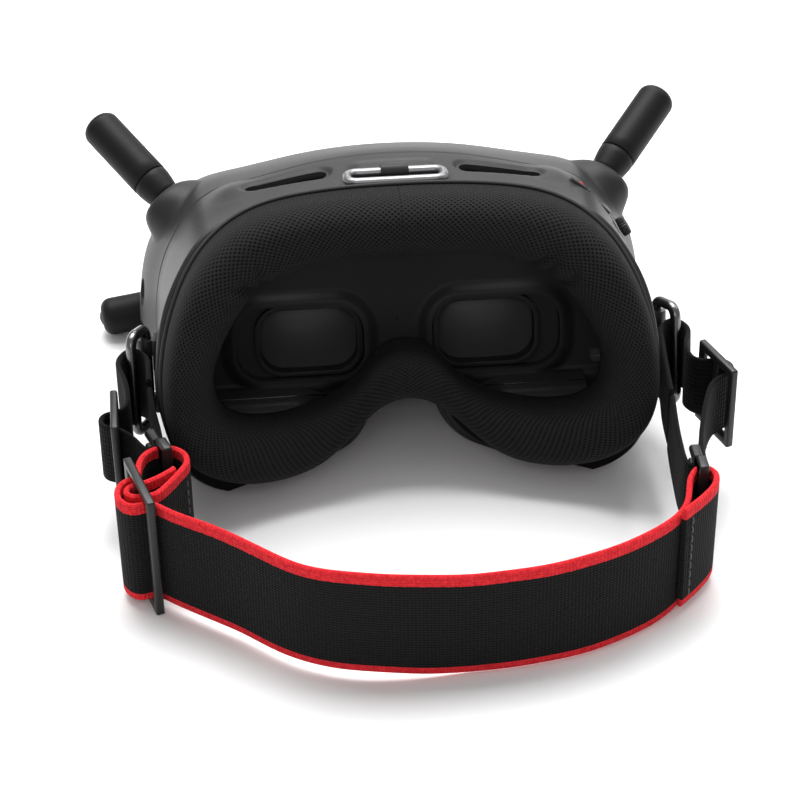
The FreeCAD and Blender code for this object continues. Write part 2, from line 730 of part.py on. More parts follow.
def ring_bracket(side):
    """Plate on the housing's flank with two knuckles round the ring's inner bar."""
    x, y = RING_HINGE
    x *= side
    corners = (side * 70, y - 3.2, RING_Z[0] + 3.6), (side * 79.9, y + 6.5, RING_Z[1] - 3.6)
    bracket = block(*sorted_box(*corners))
    for low, high in knuckle_spans():
        bracket = bracket.fuse(rod((x, y, low), (x, y, high), RING_WIRE_R + 1.5))
        arm = block(*sorted_box((side * 70, y - 2.6, low), (x, y + 2.6, high)))
        bracket = bracket.fuse(arm)
    gap = rod((x, y, knuckle_spans()[0][1]), (x, y, knuckle_spans()[1][0]), RING_WIRE_R + 0.5)
    bore = rod((x, y, -40), (x, y, 40), RING_WIRE_R + SLIDING_GAP)
    bracket = bracket.cut(gap).cut(bore).cut(OUTER)
    return single(bracket.cut(screw_holes(side)).removeSplitter())


def screw_holes(side):
    y = RING_HINGE[1] + 4.6
    holes = [rod((side * 70, y, z), (side * 90, y, z), RING_SCREW_R + 0.1) for z in RING_SCREW_Z]
    return Part.makeCompound(holes)


def ring_screws():
    """Small flat-head screws through both ring brackets."""
    solids = []
    for side in (-1, 1):
        for z in RING_SCREW_Z:
            start = (side * 79.95, RING_HINGE[1] + 4.6, z)
            head = rod(start, (side * 80.9, start[1], z), RING_SCREW_HEAD_R)
            shank = rod((side * 76.0, start[1], z), start, RING_SCREW_R)
            solids.append(head.fuse(shank.cut(OUTER)).removeSplitter())
    return Part.makeCompound(solids)


def top_loop():
    y0, z0 = TOP_BAR
    y1, z1 = TOP_HINGE
    corners = [(-TOP_HALF, y1, z1), (TOP_HALF, y1, z1), (TOP_HALF, y0, z0), (-TOP_HALF, y0, z0)]
    return Part.Solid(wire_loop(corners, TOP_WIRE_R, 3.2))


def top_bracket():
    """Block on the crown that holds the top loop's front bar."""
    y, z = TOP_HINGE
    body = block((-4.4, y - 1.4, 50), (4.4, y + 5.5, z))
    body = body.fuse(rod((-4.4, y, z), (4.4, y, z), TOP_WIRE_R + 1.3))
    body = body.cut(rod((-10, y, z), (10, y, z), TOP_WIRE_R + SLIDING_GAP)).cut(OUTER)
    return single(body.removeSplitter())


# ---------------------------------------------------------------- strap, standing frame
def ribbon(path, width, thickness):
    """Flat strap on edge. Path points are X, Y, height of the middle, and lean."""
    steps = 6 * len(path)
    edges = {}
    for end in (-1, 1):
        line = []
        for x, y, z, lean in path:
            rise = end * width / 2.0
            line.append(V(x, y + lean * rise, z + rise))
        curve = Part.BSplineCurve()
        curve.interpolate(line)
        sides = {-1: [], 1: []}
        for i in range(steps + 1):
            u = curve.FirstParameter + (curve.LastParameter - curve.FirstParameter) * i / steps
            way = curve.tangent(u)[0]
            across = V(-way.y, way.x, 0).normalize() * (thickness / 2.0)
            for side in (-1, 1):
                sides[side].append(curve.value(u) + across * side)
        for side in (-1, 1):
            edges[end, side] = spline_edge(sides[side])
    pairs = [((-1, -1), (1, -1)), ((-1, 1), (1, 1)), ((-1, -1), (-1, 1)), ((1, -1), (1, 1))]
    faces = [Part.makeRuledSurface(edges[a], edges[b]) for a, b in pairs]
    for tip in (0, -1):
        corners = [edges[key].Vertexes[tip].Point for key in ((-1, -1), (-1, 1), (1, 1), (1, -1))]
        near = Part.LineSegment(corners[0], corners[1]).toShape()
        far = Part.LineSegment(corners[3], corners[2]).toShape()
        faces.append(Part.makeRuledSurface(near, far))
    shell = Part.Shell(faces)
    shell.sewShape()
    solid = Part.Solid(shell)
    if solid.Volume < 0:
        solid.reverse()
    return solid


BAND_PATH = [(-73.6, -110.0), (-76.0, -112.2), (-78.6, -114.2), (-81.5, -116.0), (-84.5, -117.2),
             (-87.2, -118.6), (-87.5, -121.4), (-85.4, -123.0), (-82.8, -123.0), (-80.0, -122.6),
             (-76.8, -119.6), (-74.0, -115.2), (-71.6, -111.2), (-69.9, -107.4), (-70.3, -103.6),
             (-72.8, -100.6), (-77.2, -99.5), (-81.3, -101.2), (-83.6, -104.8), (-84.4, -109.0),
             (-85.4, -113.6), (-88.2, -115.4), (-90.2, -119.4), (-89.2, -124.6), (-85.6, -127.4),
             (-81.7, -126.6), (-76.5, -129.6), (-66.0, -137.6), (-56.0, -145.4), (-39.0, -159.6),
             (-21.5, -165.7), (4.5, -166.8), (39.5, -162.4), (60.0, -153.6), (70.6, -145.6),
             (75.5, -138.8), (77.4, -132.6), (79.0, -127.6), (82.2, -124.6), (85.4, -127.4),
             (85.2, -132.0), (82.0, -137.2), (78.2, -141.4), (73.4, -146.2)]

# X, Y, height of the middle, lean.
RIGHT_WEB_PATH = [(79.9, -88.0, 28.0, 0), (79.4, -99.0, 25.5, 0), (79.3, -109.0, 23.5, 0),
                  (79.4, -114.8, 23.5, 0), (80.2, -117.2, 23.5, 0), (82.2, -118.0, 23.5, 0),
                  (84.2, -117.2, 23.5, 0), (85.0, -114.8, 23.5, 0), (85.4, -109.0, 23.5, 0),
                  (87.4, -99.0, 26.0, 0), (91.0, -88.4, 29.0, 0), (94.0, -83.6, 30.0, 0),
                  (97.5, -81.4, 30.5, 0), (99.9, -79.0, 30.5, 0), (99.9, -75.6, 30.5, 0),
                  (97.6, -73.4, 30.5, 0), (94.4, -73.1, 30.5, 0), (90.6, -72.4, 30.6, 0),
                  (88.4, -69.2, 30.7, 0), (88.4, -64.8, 31.0, 0.2), (90.2, -58.4, 31.0, 0.325),
                  (86.4, -53.1, 31.0, 0.325), (82.2, -56.4, 31.0, 0.325), (81.2, -61.6, 31.0, 0.3),
                  (80.4, -72.0, 30.5, 0.1), (80.0, -85.6, 28.6, 0)]
LEFT_WEB_PATH = [(-80.9, -70.6, 29.5, 0.1), (-79.8, -77.4, 26.5, 0), (-78.4, -84.0, 23.8, 0),
                 (-77.9, -88.4, 23.5, 0), (-78.0, -91.8, 23.5, 0), (-79.8, -93.4, 23.5, 0),
                 (-82.6, -92.6, 23.5, 0), (-85.0, -90.2, 24.5, 0), (-88.0, -88.6, 26.6, 0),
                 (-91.4, -87.2, 27.5, 0), (-94.8, -85.4, 27.5, 0), (-95.9, -82.7, 27.5, 0),
                 (-95.0, -79.9, 27.5, 0), (-91.6, -78.3, 27.5, 0), (-88.4, -76.4, 28.0, 0),
                 (-87.6, -72.0, 29.6, 0.05), (-89.2, -65.0, 31.0, 0.25), (-90.4, -58.4, 31.0, 0.325),
                 (-86.4, -53.1, 31.0, 0.325), (-82.2, -56.4, 31.0, 0.325), (-81.2, -61.6, 31.0, 0.3),
                 (-81.0, -67.6, 30.2, 0.14)]


def head_band():
    """Elastic band: looped round both hooks, with its end sewn round the big slider."""
    return ribbon([(x, y, BAND_MID, 0.0) for x, y in BAND_PATH], BAND_WIDTH, BAND_THICK)


def upright_plate(start, way, outline_points, half):
    """Plate standing on edge: outline points are distance along and height."""
    unit = V(way[0], way[1], 0).normalize()
    across = V(-unit.y, unit.x, 0) * half
    points = [V(start[0], start[1], z) + unit * s - across for s, z in outline_points]
    wire = Part.makePolygon(points + [points[0]])
    return Part.Face(wire).extrude(across * 2)


def slot_plate(start, way, s0, s1, z0, z1, half):
    return upright_plate(start, way, [(s0, z0), (s1, z0), (s1, z1), (s0, z1)], half)


def g_hook(place):
    """Open hook plate: tall window for the band, open window for the webbing."""
    start, way = place
    web_low = HOOK_WEB_MID - WEB_WIDTH / 2.0 - 1.0
    web_high = HOOK_WEB_MID + WEB_WIDTH / 2.0 + 1.0
    shape = [(0.0, web_low - 1.6), (1.6, web_low - 3.2), (7.5, web_low - 3.2), (12.0, 0.0), (18.0, 0.0),
             (18.0, HOOK_HEIGHT), (12.0, HOOK_HEIGHT), (7.5, web_high + 3.2), (1.6, web_high + 3.2),
             (0.0, web_high + 1.6)]
    plate = upright_plate(start, way, shape, HOOK_HALF)
    thick = HOOK_HALF + 1.0
    plate = plate.cut(slot_plate(start, way, 10.3, 14.7, 2.5, HOOK_HEIGHT - 2.5, thick))
    plate = plate.cut(slot_plate(start, way, 3.4, 7.6, web_low, web_high, thick))
    plate = plate.cut(slot_plate(start, way, -1.0, 4.0, web_high - 2.6, web_high, thick))
    return single(plate)


def slider(place, low, high, bar, slot_margin, half):
    """Three-bar slider standing on edge between two plan points."""
    (x0, y0), (x1, y1) = place
    way = (x1 - x0, y1 - y0)
    length = math.hypot(*way)
    plate = slot_plate((x0, y0), way, 0.0, length, low, high, half)
    slot = (length - 3.0 * bar) / 2.0
    for s0 in (bar, 2.0 * bar + slot):
        plate = plate.cut(slot_plate((x0, y0), way, s0, s0 + slot, low + slot_margin,
                                     high - slot_margin, half + 1.0))
    return single(plate)


# ---------------------------------------------------------------- write the parts
def goggles_parts():
    plunger, gimbal, cap = joystick_parts()
    parts = {
        "rear_shell": rear_shell(), "front_cover": front_cover(), "visor_panel": visor_panel(),
        "intake_grille": intake_grille(), "channel_display": channel_display(),
        "rim_gasket": rim_gasket(), "face_foam": face_foam(), "face_plate": face_plate(),
        "face_plate_screws": plate_screws(), "lens_guide_rods": guide_rods(),
        "main_board": main_board(), "heat_sink": heat_sink(), "fan_frame": fan_frame(),
        "fan_rotor": fan_rotor(), "record_button": record_button(), "back_button": back_button(),
        "joystick_plunger": plunger, "joystick_gimbal": gimbal, "joystick_cap": cap,
        "top_strap_loop": top_loop(), "top_loop_bracket": top_bracket(),
        "ring_bracket_screws": ring_screws()}
    for name in FRONT_BUTTONS:
        parts[name] = front_button(name)
    for side, word in ((-1, "left"), (1, "right")):
        parts[word + "_lens_barrel"] = lens_barrel(side)
        parts[word + "_lens"] = lens(side)
        parts[word + "_display"] = display_panel(side)
        parts[word + "_lens_knob"] = focus_knob(side)
        parts[word + "_strap_ring"] = side_ring(side)
        parts[word + "_ring_bracket"] = ring_bracket(side)
        for name, y, z, radius in PORTS[side]:
            parts[name] = port(side, name, y, z, radius)
        upper = (mirror_point(UPPER_POST, side), mirror_point(UPPER_AIM, side))
        lower = (mirror_point(LOWER_POST, side), mirror_point(LOWER_AIM, side))
        parts["upper_" + word + "_antenna_post"] = antenna_post(*upper)
        parts["lower_" + word + "_antenna_post"] = antenna_post(*lower)
        parts["upper_" + word + "_antenna"] = antenna(*upper)
        if side < 0:
            parts["lower_left_antenna"] = antenna(*lower)
    return {name: stand_up(shape) for name, shape in parts.items()}


def strap_parts():
    return {
        "head_band": head_band(),
        "right_webbing": ribbon(RIGHT_WEB_PATH, WEB_WIDTH, WEB_THICK),
        "left_webbing": ribbon(LEFT_WEB_PATH, WEB_WIDTH, WEB_THICK),
        "right_hook": g_hook(RIGHT_HOOK), "left_hook": g_hook(LEFT_HOOK),
        "band_slider": slider(BIG_GLIDE, 0.0, 42.0, 3.2, 2.4, 1.3),
        "right_webbing_slider": slider(RIGHT_GLIDE, 16.0, 45.0, 2.6, 3.0, 1.2),
        "left_webbing_slider": slider(LEFT_GLIDE, 13.0, 42.0, 2.6, 3.0, 1.2)}


def main():
    os.makedirs("parts", exist_ok=True)
    parts = goggles_parts()
    parts.update(strap_parts())
    for name, shape in sorted(parts.items()):
        shape.exportStep("parts/" + name + ".step")
        state = "ok" if shape.isValid() else "INVALID"
        print(f"{name:26s} solids {len(shape.Solids)} volume {shape.Volume:10.1f} {state}")


main()
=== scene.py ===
"""Looks of the FPV goggles: moulded shells, air-mesh face pad, elastic strap, studio.

Goggles are drawn in millimetres in their own frame (X right, Y forward, Z up, origin
between the lenses) and stood up by row(); the strap is drawn in the standing frame.
"""
import bpy
import bmesh
import json
import math
import numpy as np
from mathutils import Matrix, Vector

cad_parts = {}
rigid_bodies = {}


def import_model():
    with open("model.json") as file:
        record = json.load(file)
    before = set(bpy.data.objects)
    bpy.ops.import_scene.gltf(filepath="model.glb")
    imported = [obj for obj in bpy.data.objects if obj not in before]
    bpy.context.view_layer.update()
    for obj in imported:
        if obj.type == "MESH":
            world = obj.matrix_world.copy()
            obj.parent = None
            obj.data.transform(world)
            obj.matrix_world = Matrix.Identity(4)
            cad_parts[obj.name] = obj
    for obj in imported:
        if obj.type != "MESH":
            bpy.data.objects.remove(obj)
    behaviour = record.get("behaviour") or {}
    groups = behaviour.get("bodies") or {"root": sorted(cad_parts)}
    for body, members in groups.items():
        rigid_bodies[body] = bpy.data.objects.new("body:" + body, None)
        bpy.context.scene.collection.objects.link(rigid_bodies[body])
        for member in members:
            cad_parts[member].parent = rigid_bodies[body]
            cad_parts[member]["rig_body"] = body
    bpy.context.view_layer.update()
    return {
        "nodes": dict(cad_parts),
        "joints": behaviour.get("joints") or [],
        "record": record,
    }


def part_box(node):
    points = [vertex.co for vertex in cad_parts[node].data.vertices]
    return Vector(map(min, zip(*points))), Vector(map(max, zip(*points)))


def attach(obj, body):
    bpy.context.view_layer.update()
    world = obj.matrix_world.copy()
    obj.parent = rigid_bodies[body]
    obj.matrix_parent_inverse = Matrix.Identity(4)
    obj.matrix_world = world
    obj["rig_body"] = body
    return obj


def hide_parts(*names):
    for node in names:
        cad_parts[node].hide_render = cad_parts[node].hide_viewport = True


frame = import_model()
NODES = frame["nodes"]
MM = 0.001
MERGE = 2e-6

# ---------------------------------------------------------------- shared dimensions, mm
PITCH = math.radians(18.0)
BASE_Y, BASE_Z = -3.0, -33.5
ORIGIN = np.array([0.0, 55.0, BASE_Z + math.tan(PITCH) * (55.0 - BASE_Y)])
FACE_RADIUS = 130.0
WALL = 2.2
FRONT_Y = 86.0
CROWN = [
    (0.0, 1.0), (0.32, 0.995), (0.59, 0.972), (0.76, 0.91), (0.886, 0.70),
    (0.958, 0.47), (0.988, 0.26), (1.0, 0.0)]
BELLY = [(0.975, -0.32), (0.90, -0.70), (0.75, -0.93), (0.45, -1.0)]
LOWER_DEPTH = 40.0
STATIONS = [
    (-60.0, 77.5, 51.0, 0.0), (-30.0, 78.6, 52.5, 0.0), (0.0, 79.0, 54.3, 0.01),
    (16.0, 79.0, 58.3, 0.05), (30.0, 79.8, 61.0, 0.09), (46.0, 83.6, 60.2, 0.09),
    (62.0, 85.8, 58.0, 0.09), (76.0, 84.2, 54.0, 0.08), (FRONT_Y, 80.0, 48.0, 0.06)]
NOSE_HALF = [
    (0.0, -11.0), (6.5, -11.3), (10.4, -13.5), (12.0, -18.0), (18.0, -27.5),
    (34.0, -36.0), (42.0, -60.0)]
NOSE_FALL = 0.3
UPPER_POST, UPPER_AIM = (73.5, 56.5, 43.5), (0.60, 0.52, 0.61)
LOWER_POST, LOWER_AIM = (61.0, 78.3, 3.6), (0.985, -0.085, -0.12)
CORNER_NOTCH = (61.0, 68.5, 13.5)
VENT_CENTRE, VENT_SIZE, VENT_MOUTH = (34.5, 19.0), (25.0, 5.0), (26.4, 6.6)
FOAM_OUTER = [
    (0.0, 57.2), (30.0, 56.5), (50.0, 52.5), (62.0, 44.0), (71.0, 29.0), (76.0, 10.0),
    (76.0, -6.0), (70.5, -20.0), (58.0, -29.5), (43.0, -32.0), (29.0, -28.5),
    (18.5, -20.0), (9.6, -12.5), (0.0, -9.4)]
FOAM_INNER = [
    (0.0, 36.5), (34.0, 34.5), (46.0, 29.0), (57.0, 15.0), (60.8, 4.0), (57.5, -8.0),
    (47.0, -12.5), (34.0, -12.0), (23.0, -8.5), (14.0, -1.5), (8.0, 5.0), (0.0, 7.5)]
FOAM_DEPTH = 22.0


# ---------------------------------------------------------------- maths helpers
def row(points):
    """Goggles frame in mm to the row frame in metres."""
    p = np.asarray(points, float) - ORIGIN
    c, s = math.cos(PITCH), math.sin(PITCH)
    out = [p[..., 0], p[..., 1] * c + p[..., 2] * s, -p[..., 1] * s + p[..., 2] * c]
    return np.stack(out, -1) * MM


def base_z(y):
    return BASE_Z + math.tan(PITCH) * (y - BASE_Y)


def wrap(x, radius=FACE_RADIUS):
    """Y of the curved face surface at X."""
    return -FACE_RADIUS + np.sqrt(np.maximum(radius ** 2 - np.asarray(x) ** 2, 1.0))


def full_turn(count):
    return np.linspace(0, 2 * math.pi, count, endpoint=False)


def smooth(t):
    t = np.clip(t, 0.0, 1.0)
    return t * t * (3 - 2 * t)


class Spline:
    """Smooth curve through points, over given knots or over chord length."""

    def __init__(self, points, closed=False, knots=None):
        p = np.asarray(points, float)
        if closed:
            p = np.vstack([p, p[:1]])
        if knots is None:
            knots = np.concatenate([[0], np.cumsum(np.linalg.norm(np.diff(p, axis=0), axis=1))])
        knots = np.asarray(knots, float)
        gaps, n = np.diff(knots), len(p)
        rates = np.diff(p, axis=0) / gaps[:, None]
        matrix, right = np.zeros((n, n)), np.zeros_like(p)
        for i in range(1, n - 1):
            matrix[i, i - 1:i + 2] = gaps[i], 2 * (gaps[i - 1] + gaps[i]), gaps[i - 1]
            right[i] = 3 * (gaps[i] * rates[i - 1] + gaps[i - 1] * rates[i])
        if closed:
            matrix[0, [0, 1, n - 2]] = 2 * (gaps[-1] + gaps[0]), gaps[-1], gaps[0]
            right[0] = 3 * (gaps[0] * rates[-1] + gaps[-1] * rates[0])
            matrix[-1, [0, -1]] = 1, -1
        else:
            matrix[0, :2] = 2, 1
            right[0] = 3 * rates[0]
            matrix[-1, -2:] = 1, 2
            right[-1] = 3 * rates[-1]
        self.points, self.knots, self.gaps = p, knots, gaps
        self.slopes = np.linalg.solve(matrix, right)

    def __call__(self, at):
        at = np.asarray(at, float)
        k = np.clip(np.searchsorted(self.knots, at, "right") - 1, 0, len(self.gaps) - 1)
        h = self.gaps[k]
        t = ((at - self.knots[k]) / h)[..., None]
        h = h[..., None]
        a, b = self.points[k], self.points[k + 1]
        m, n = self.slopes[k] * h, self.slopes[k + 1] * h
        return ((2 * t ** 3 - 3 * t ** 2 + 1) * a + (t ** 3 - 2 * t ** 2 + t) * m
                + (3 * t ** 2 - 2 * t ** 3) * b + (t ** 3 - t ** 2) * n)

    def spread(self, count):
        return self(np.linspace(0, self.knots[-1], count))


def even(points, count):
    """The same polyline with evenly spaced points."""
    p = np.asarray(points, float)
    steps = np.linalg.norm(np.diff(p, axis=0), axis=1)
    run = np.concatenate([[0], np.cumsum(steps)])
    if run[-1] < 1e-9:
        return np.repeat(p[:1], count, axis=0)
    at = np.linspace(0, run[-1], count)
    return np.stack([np.interp(at, run, p[:, i]) for i in range(p.shape[1])], 1)


def full(half):
    """Both halves of an outline whose first and last points lie on the middle plane."""
    other = half[..., ::-1, :][..., 1:-1, :] * np.array([-1.0] + [1.0] * (half.shape[-1] - 1))
    return np.concatenate([half, other], axis=-2)


def inward_normals(ring):
    """Unit normals in the plane of a closed clockwise outline, pointing inside."""
    way = np.roll(ring, -1, axis=-2) - np.roll(ring, 1, axis=-2)
    way = way / np.maximum(np.linalg.norm(way, axis=-1, keepdims=True), 1e-9)
    return np.stack([way[..., 1], -way[..., 0]], -1)


# ---------------------------------------------------------------- mesh helpers
def make_mesh(name, points, faces, weave=None, sharp=None):
    mesh = bpy.data.meshes.new(name)
    mesh.from_pydata(np.asarray(points, float).tolist(), [], faces)
    mesh.validate()
    mesh.polygons.foreach_set("use_smooth", [True] * len(mesh.polygons))
    if weave is not None:
        layer = mesh.attributes.new("weave", "FLOAT_VECTOR", "POINT")
        layer.data.foreach_set("vector", np.asarray(weave, np.float32).ravel())
    piece = bpy.data.objects.new(name, mesh)
    bpy.context.scene.collection.objects.link(piece)
    if sharp is not None:
        mesh.set_sharp_from_angle(angle=math.radians(sharp))
    return piece


def grid_faces(rows, columns, close_rows, close_columns):
    faces = []
    for i in range(rows if close_rows else rows - 1):
        for j in range(columns if close_columns else columns - 1):
            a, b = i, (i + 1) % rows
            c, d = j, (j + 1) % columns
            faces.append((a * columns + c, b * columns + c, b * columns + d, a * columns + d))
    return faces


def grid(name, points, close_rows=False, close_columns=False, weave=None, sharp=None):
    """Piece from rows by columns of points, in metres."""
    rows, columns = points.shape[:2]
    faces = grid_faces(rows, columns, close_rows, close_columns)
    flat_weave = None if weave is None else weave.reshape(-1, 3)
    piece = make_mesh(name, points.reshape(-1, 3), faces, flat_weave, sharp)
    fix_normals(piece)
    return piece


def fix_normals(piece, merge=0.0, cap=False, flatten=False):
    """Face outward, after merging close points, filling ends or dissolving flat edges."""
    work = bmesh.new()
    work.from_mesh(piece.data)
    if merge:
        bmesh.ops.remove_doubles(work, verts=work.verts, dist=merge)
    if cap:
        bmesh.ops.holes_fill(work, edges=[e for e in work.edges if e.is_boundary], sides=0)
    if flatten:
        bmesh.ops.dissolve_limit(work, angle_limit=math.radians(2), verts=work.verts, edges=work.edges)
    bmesh.ops.recalc_face_normals(work, faces=work.faces)
    work.to_mesh(piece.data)
    work.free()


def shade(piece, sharp):
    piece.data.polygons.foreach_set("use_smooth", [True] * len(piece.data.polygons))
    piece.data.set_sharp_from_angle(angle=math.radians(sharp))


def apply_modifiers(piece):
    graph = bpy.context.evaluated_depsgraph_get()
    mesh = bpy.data.meshes.new_from_object(piece.evaluated_get(graph))
    piece.modifiers.clear()
    old = piece.data
    piece.data = mesh
    bpy.data.meshes.remove(old)


def cut_with(piece, cutters, sharp=32):
    """Boolean difference with a list of closed meshes, which are then removed."""
    for cutter in cutters:
        change = piece.modifiers.new("cut", "BOOLEAN")
        change.operation = "DIFFERENCE"
        change.solver = "MANIFOLD"
        change.object = cutter
    apply_modifiers(piece)
    for cutter in cutters:
        bpy.data.objects.remove(cutter)
    shade(piece, sharp)


def pushed(name, outline, low, high, axes, turn=row):
    """Closed prism cutter: outline in two axes, pushed along the third."""
    third = 3 - axes[0] - axes[1]
    rings = []
    for level in (low, high):
        ring = np.zeros((len(outline), 3))
        ring[:, axes[0]], ring[:, axes[1]], ring[:, third] = outline[:, 0], outline[:, 1], level
        rings.append(ring)
    points = turn(np.concatenate(rings))
    n = len(outline)
    faces = [(i, (i + 1) % n, n + (i + 1) % n, n + i) for i in range(n)]
    faces += [tuple(range(n - 1, -1, -1)), tuple(range(n, 2 * n))]
    piece = make_mesh(name, points, faces)
    fix_normals(piece)
    return piece


def stadium(centre, length, width, count=16):
    half, radius = length / 2 - width / 2, width / 2
    angles = np.linspace(-math.pi / 2, math.pi / 2, count)
    right = np.stack([half + radius * np.cos(angles), radius * np.sin(angles)], 1)
    return np.concatenate([right, -right]) + np.asarray(centre)


def rounded_box(centre, width, height, corner, count=10):
    points = []
    for q, (sx, sz) in enumerate([(1, 1), (-1, 1), (-1, -1), (1, -1)]):
        angles = np.linspace(0, math.pi / 2, count) + q * math.pi / 2
        mid = (sx * (width / 2 - corner), sz * (height / 2 - corner))
        points.append(np.stack([mid[0] + corner * np.cos(angles), mid[1] + corner * np.sin(angles)], 1))
    return np.concatenate(points) + np.asarray(centre)


def lathe(name, profile, start, aim, count=64, sharp=None):
    """Turned piece: profile of radius and distance along the aim, in mm."""
    aim = np.asarray(aim, float) / np.linalg.norm(aim)
    side = np.cross(aim, (0, 0, 1.0) if abs(aim[2]) < 0.9 else (1.0, 0, 0))
    side /= np.linalg.norm(side)
    other = np.cross(aim, side)
    angles = full_turn(count)
    ring = np.cos(angles)[:, None] * side + np.sin(angles)[:, None] * other
    profile = np.asarray(profile, float)
    points = (np.asarray(start) + profile[:, None, 1:2] * aim
              + np.maximum(profile[:, None, 0:1], 0.01) * ring[None])
    return grid(name, row(points), False, True, sharp=sharp)


def tube(name, path, radius, count=10, closed=False):
    """Round tube along a path, in metres."""
    path = np.asarray(path, float)
    if closed:
        way = np.roll(path, -1, axis=0) - np.roll(path, 1, axis=0)
    else:
        way = np.gradient(path, axis=0)
    way /= np.linalg.norm(way, axis=1, keepdims=True)
    side = np.cross(way[0], (0.3, 0.2, 1.0))
    sides = []
    for i in range(len(path)):
        side = side - way[i] * side.dot(way[i])
        side /= np.linalg.norm(side)
        sides.append(side)
    sides = np.array(sides)
    others = np.cross(way, sides)
    angles = full_turn(count)
    ring = (np.cos(angles)[None, :, None] * sides[:, None] + np.sin(angles)[None, :, None] * others[:, None])
    points = path[:, None] + ring * np.asarray(radius).reshape(-1, 1, 1)
    return grid(name, points, closed, True)


def put(piece, body, slot, material, *stood_for):
    """Final bookkeeping of one visual piece."""
    piece.data.materials.clear()
    piece.data.materials.append(MATERIALS[material])
    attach(piece, body)
    if stood_for:
        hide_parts(*stood_for)
    return piece


# ---------------------------------------------------------------- materials
class Shader:
    """Small builder of one principled material."""

    def __init__(self, name, rough, metal=0.0, coat=0.0, specular=0.5):
        self.material = bpy.data.materials.new(name)
        self.material.use_nodes = True
        self.nodes, self.links = self.material.node_tree.nodes, self.material.node_tree.links
        self.surface = self.nodes["Principled BSDF"]
        self.surface.inputs["Roughness"].default_value = rough
        self.surface.inputs["Metallic"].default_value = metal
        self.surface.inputs["Coat Weight"].default_value = coat
        self.surface.inputs["Specular IOR Level"].default_value = specular
        self.place = self.nodes.new("ShaderNodeTexCoord").outputs["Object"]

    def weave(self):
        source = self.nodes.new("ShaderNodeAttribute")
        source.attribute_name = "weave"
        return source.outputs["Vector"]

    def noise(self, scale, detail=3.0):
        node = self.nodes.new("ShaderNodeTexNoise")
        node.inputs["Scale"].default_value = scale
        node.inputs["Detail"].default_value = detail
        self.links.new(self.place, node.inputs["Vector"])
        return node.outputs["Fac"]

    def math(self, kind, a, b=0.0, c=None):
        node = self.nodes.new("ShaderNodeMath")
        node.operation = kind
        for socket, value in zip(node.inputs, (a, b, c)):
            if value is None:
                continue
            if isinstance(value, (int, float)):
                socket.default_value = value
            else:
                self.links.new(value, socket)
        return node.outputs[0]

    def ramp(self, value, stops):
        node = self.nodes.new("ShaderNodeValToRGB")
        edge = node.color_ramp.elements
        while len(edge) < len(stops):
            edge.new(0.5)
        for item, (place, colour) in zip(edge, stops):
            item.position = place
            item.color = (*colour, 1.0)
        self.links.new(value, node.inputs["Fac"])
        return node.outputs["Color"]

    def split(self, vector):
        node = self.nodes.new("ShaderNodeSeparateXYZ")
        self.links.new(vector, node.inputs[0])
        return node.outputs

    def colour(self, value):
        self.links.new(value, self.surface.inputs["Base Color"])

    def roughness(self, value, low, high):
        node = self.nodes.new("ShaderNodeMapRange")
        node.inputs["To Min"].default_value = low
        node.inputs["To Max"].default_value = high
        self.links.new(value, node.inputs["Value"])
        self.links.new(node.outputs["Result"], self.surface.inputs["Roughness"])

    def bump(self, height, strength, distance):
        node = self.nodes.new("ShaderNodeBump")
        node.inputs["Strength"].default_value = strength
        node.inputs["Distance"].default_value = distance
        self.links.new(height, node.inputs["Height"])
        if self.surface.inputs["Normal"].links:
            self.links.new(self.surface.inputs["Normal"].links[0].from_socket, node.inputs["Normal"])
        self.links.new(node.outputs["Normal"], self.surface.inputs["Normal"])


def plastic(name, grey, rough, grain=900.0, strength=0.25, tint=(1.0, 1.0, 1.03), coat=0.0,
            specular=0.34, metal=0.0, spread=0.18):
    """Moulded or metal surface with soft colour drift and a fine grain."""
    shader = Shader(name, rough, metal, coat, specular)
    drift = shader.noise(22.0, 4.0)
    low = tuple(grey * t * (1 - spread) for t in tint)
    high = tuple(grey * t * (1 + spread) for t in tint)
    shader.colour(shader.ramp(drift, [(0.3, low), (0.7, high)]))
    fine = shader.noise(grain, 2.0)
    shader.roughness(fine, rough * 0.85, min(1.0, rough * 1.15))
    shader.bump(fine, strength, 0.00012)
    return shader.material


MESH_PITCH, THREAD_PITCH = (0.0017, 0.00155), 0.00045


def air_mesh():
    """Spacer fabric: staggered holes between fine threads, darkened inside with painted shade."""
    shader = Shader("air_mesh", 0.85, specular=0.10)
    parts = shader.split(shader.weave())
    across = shader.math("COSINE", shader.math("MULTIPLY", parts[0], 2 * math.pi / MESH_PITCH[0]))
    along = shader.math("COSINE", shader.math("MULTIPLY", parts[1], 2 * math.pi / MESH_PITCH[1]))
    lattice = shader.math("MULTIPLY", across, along)
    wobble = shader.noise(420.0, 3.0)
    holes = shader.math("ADD", lattice, shader.math("MULTIPLY", shader.math("SUBTRACT", wobble, 0.5), 0.5))
    mask = shader.nodes.new("ShaderNodeMapRange")
    mask.interpolation_type = "SMOOTHSTEP"
    mask.inputs["From Min"].default_value = 0.02
    mask.inputs["From Max"].default_value = 0.55
    shader.links.new(holes, mask.inputs["Value"])
    # Threads keep the fabric's own near-black; the much darker hole colour is painted shade inside the
    # holes.
    thread_grey, painted_hole_shade = (0.0165, 0.0165, 0.017), (0.0009, 0.0009, 0.0009)
    shader.colour(shader.ramp(mask.outputs["Result"], [(0.0, thread_grey), (1.0, painted_hole_shade)]))
    depth = shader.math("SUBTRACT", 1.0, mask.outputs["Result"])
    diagonal = shader.math("MULTIPLY", shader.math("ADD", parts[0], parts[1]), 2 * math.pi / THREAD_PITCH)
    threads = shader.math("SINE", diagonal)
    shader.bump(shader.math("ADD", depth, shader.math("MULTIPLY", threads, 0.12)), 0.9, 0.0003)
    shader.surface.inputs["Sheen Weight"].default_value = 0.015
    shader.surface.inputs["Sheen Roughness"].default_value = 0.5
    return shader.material


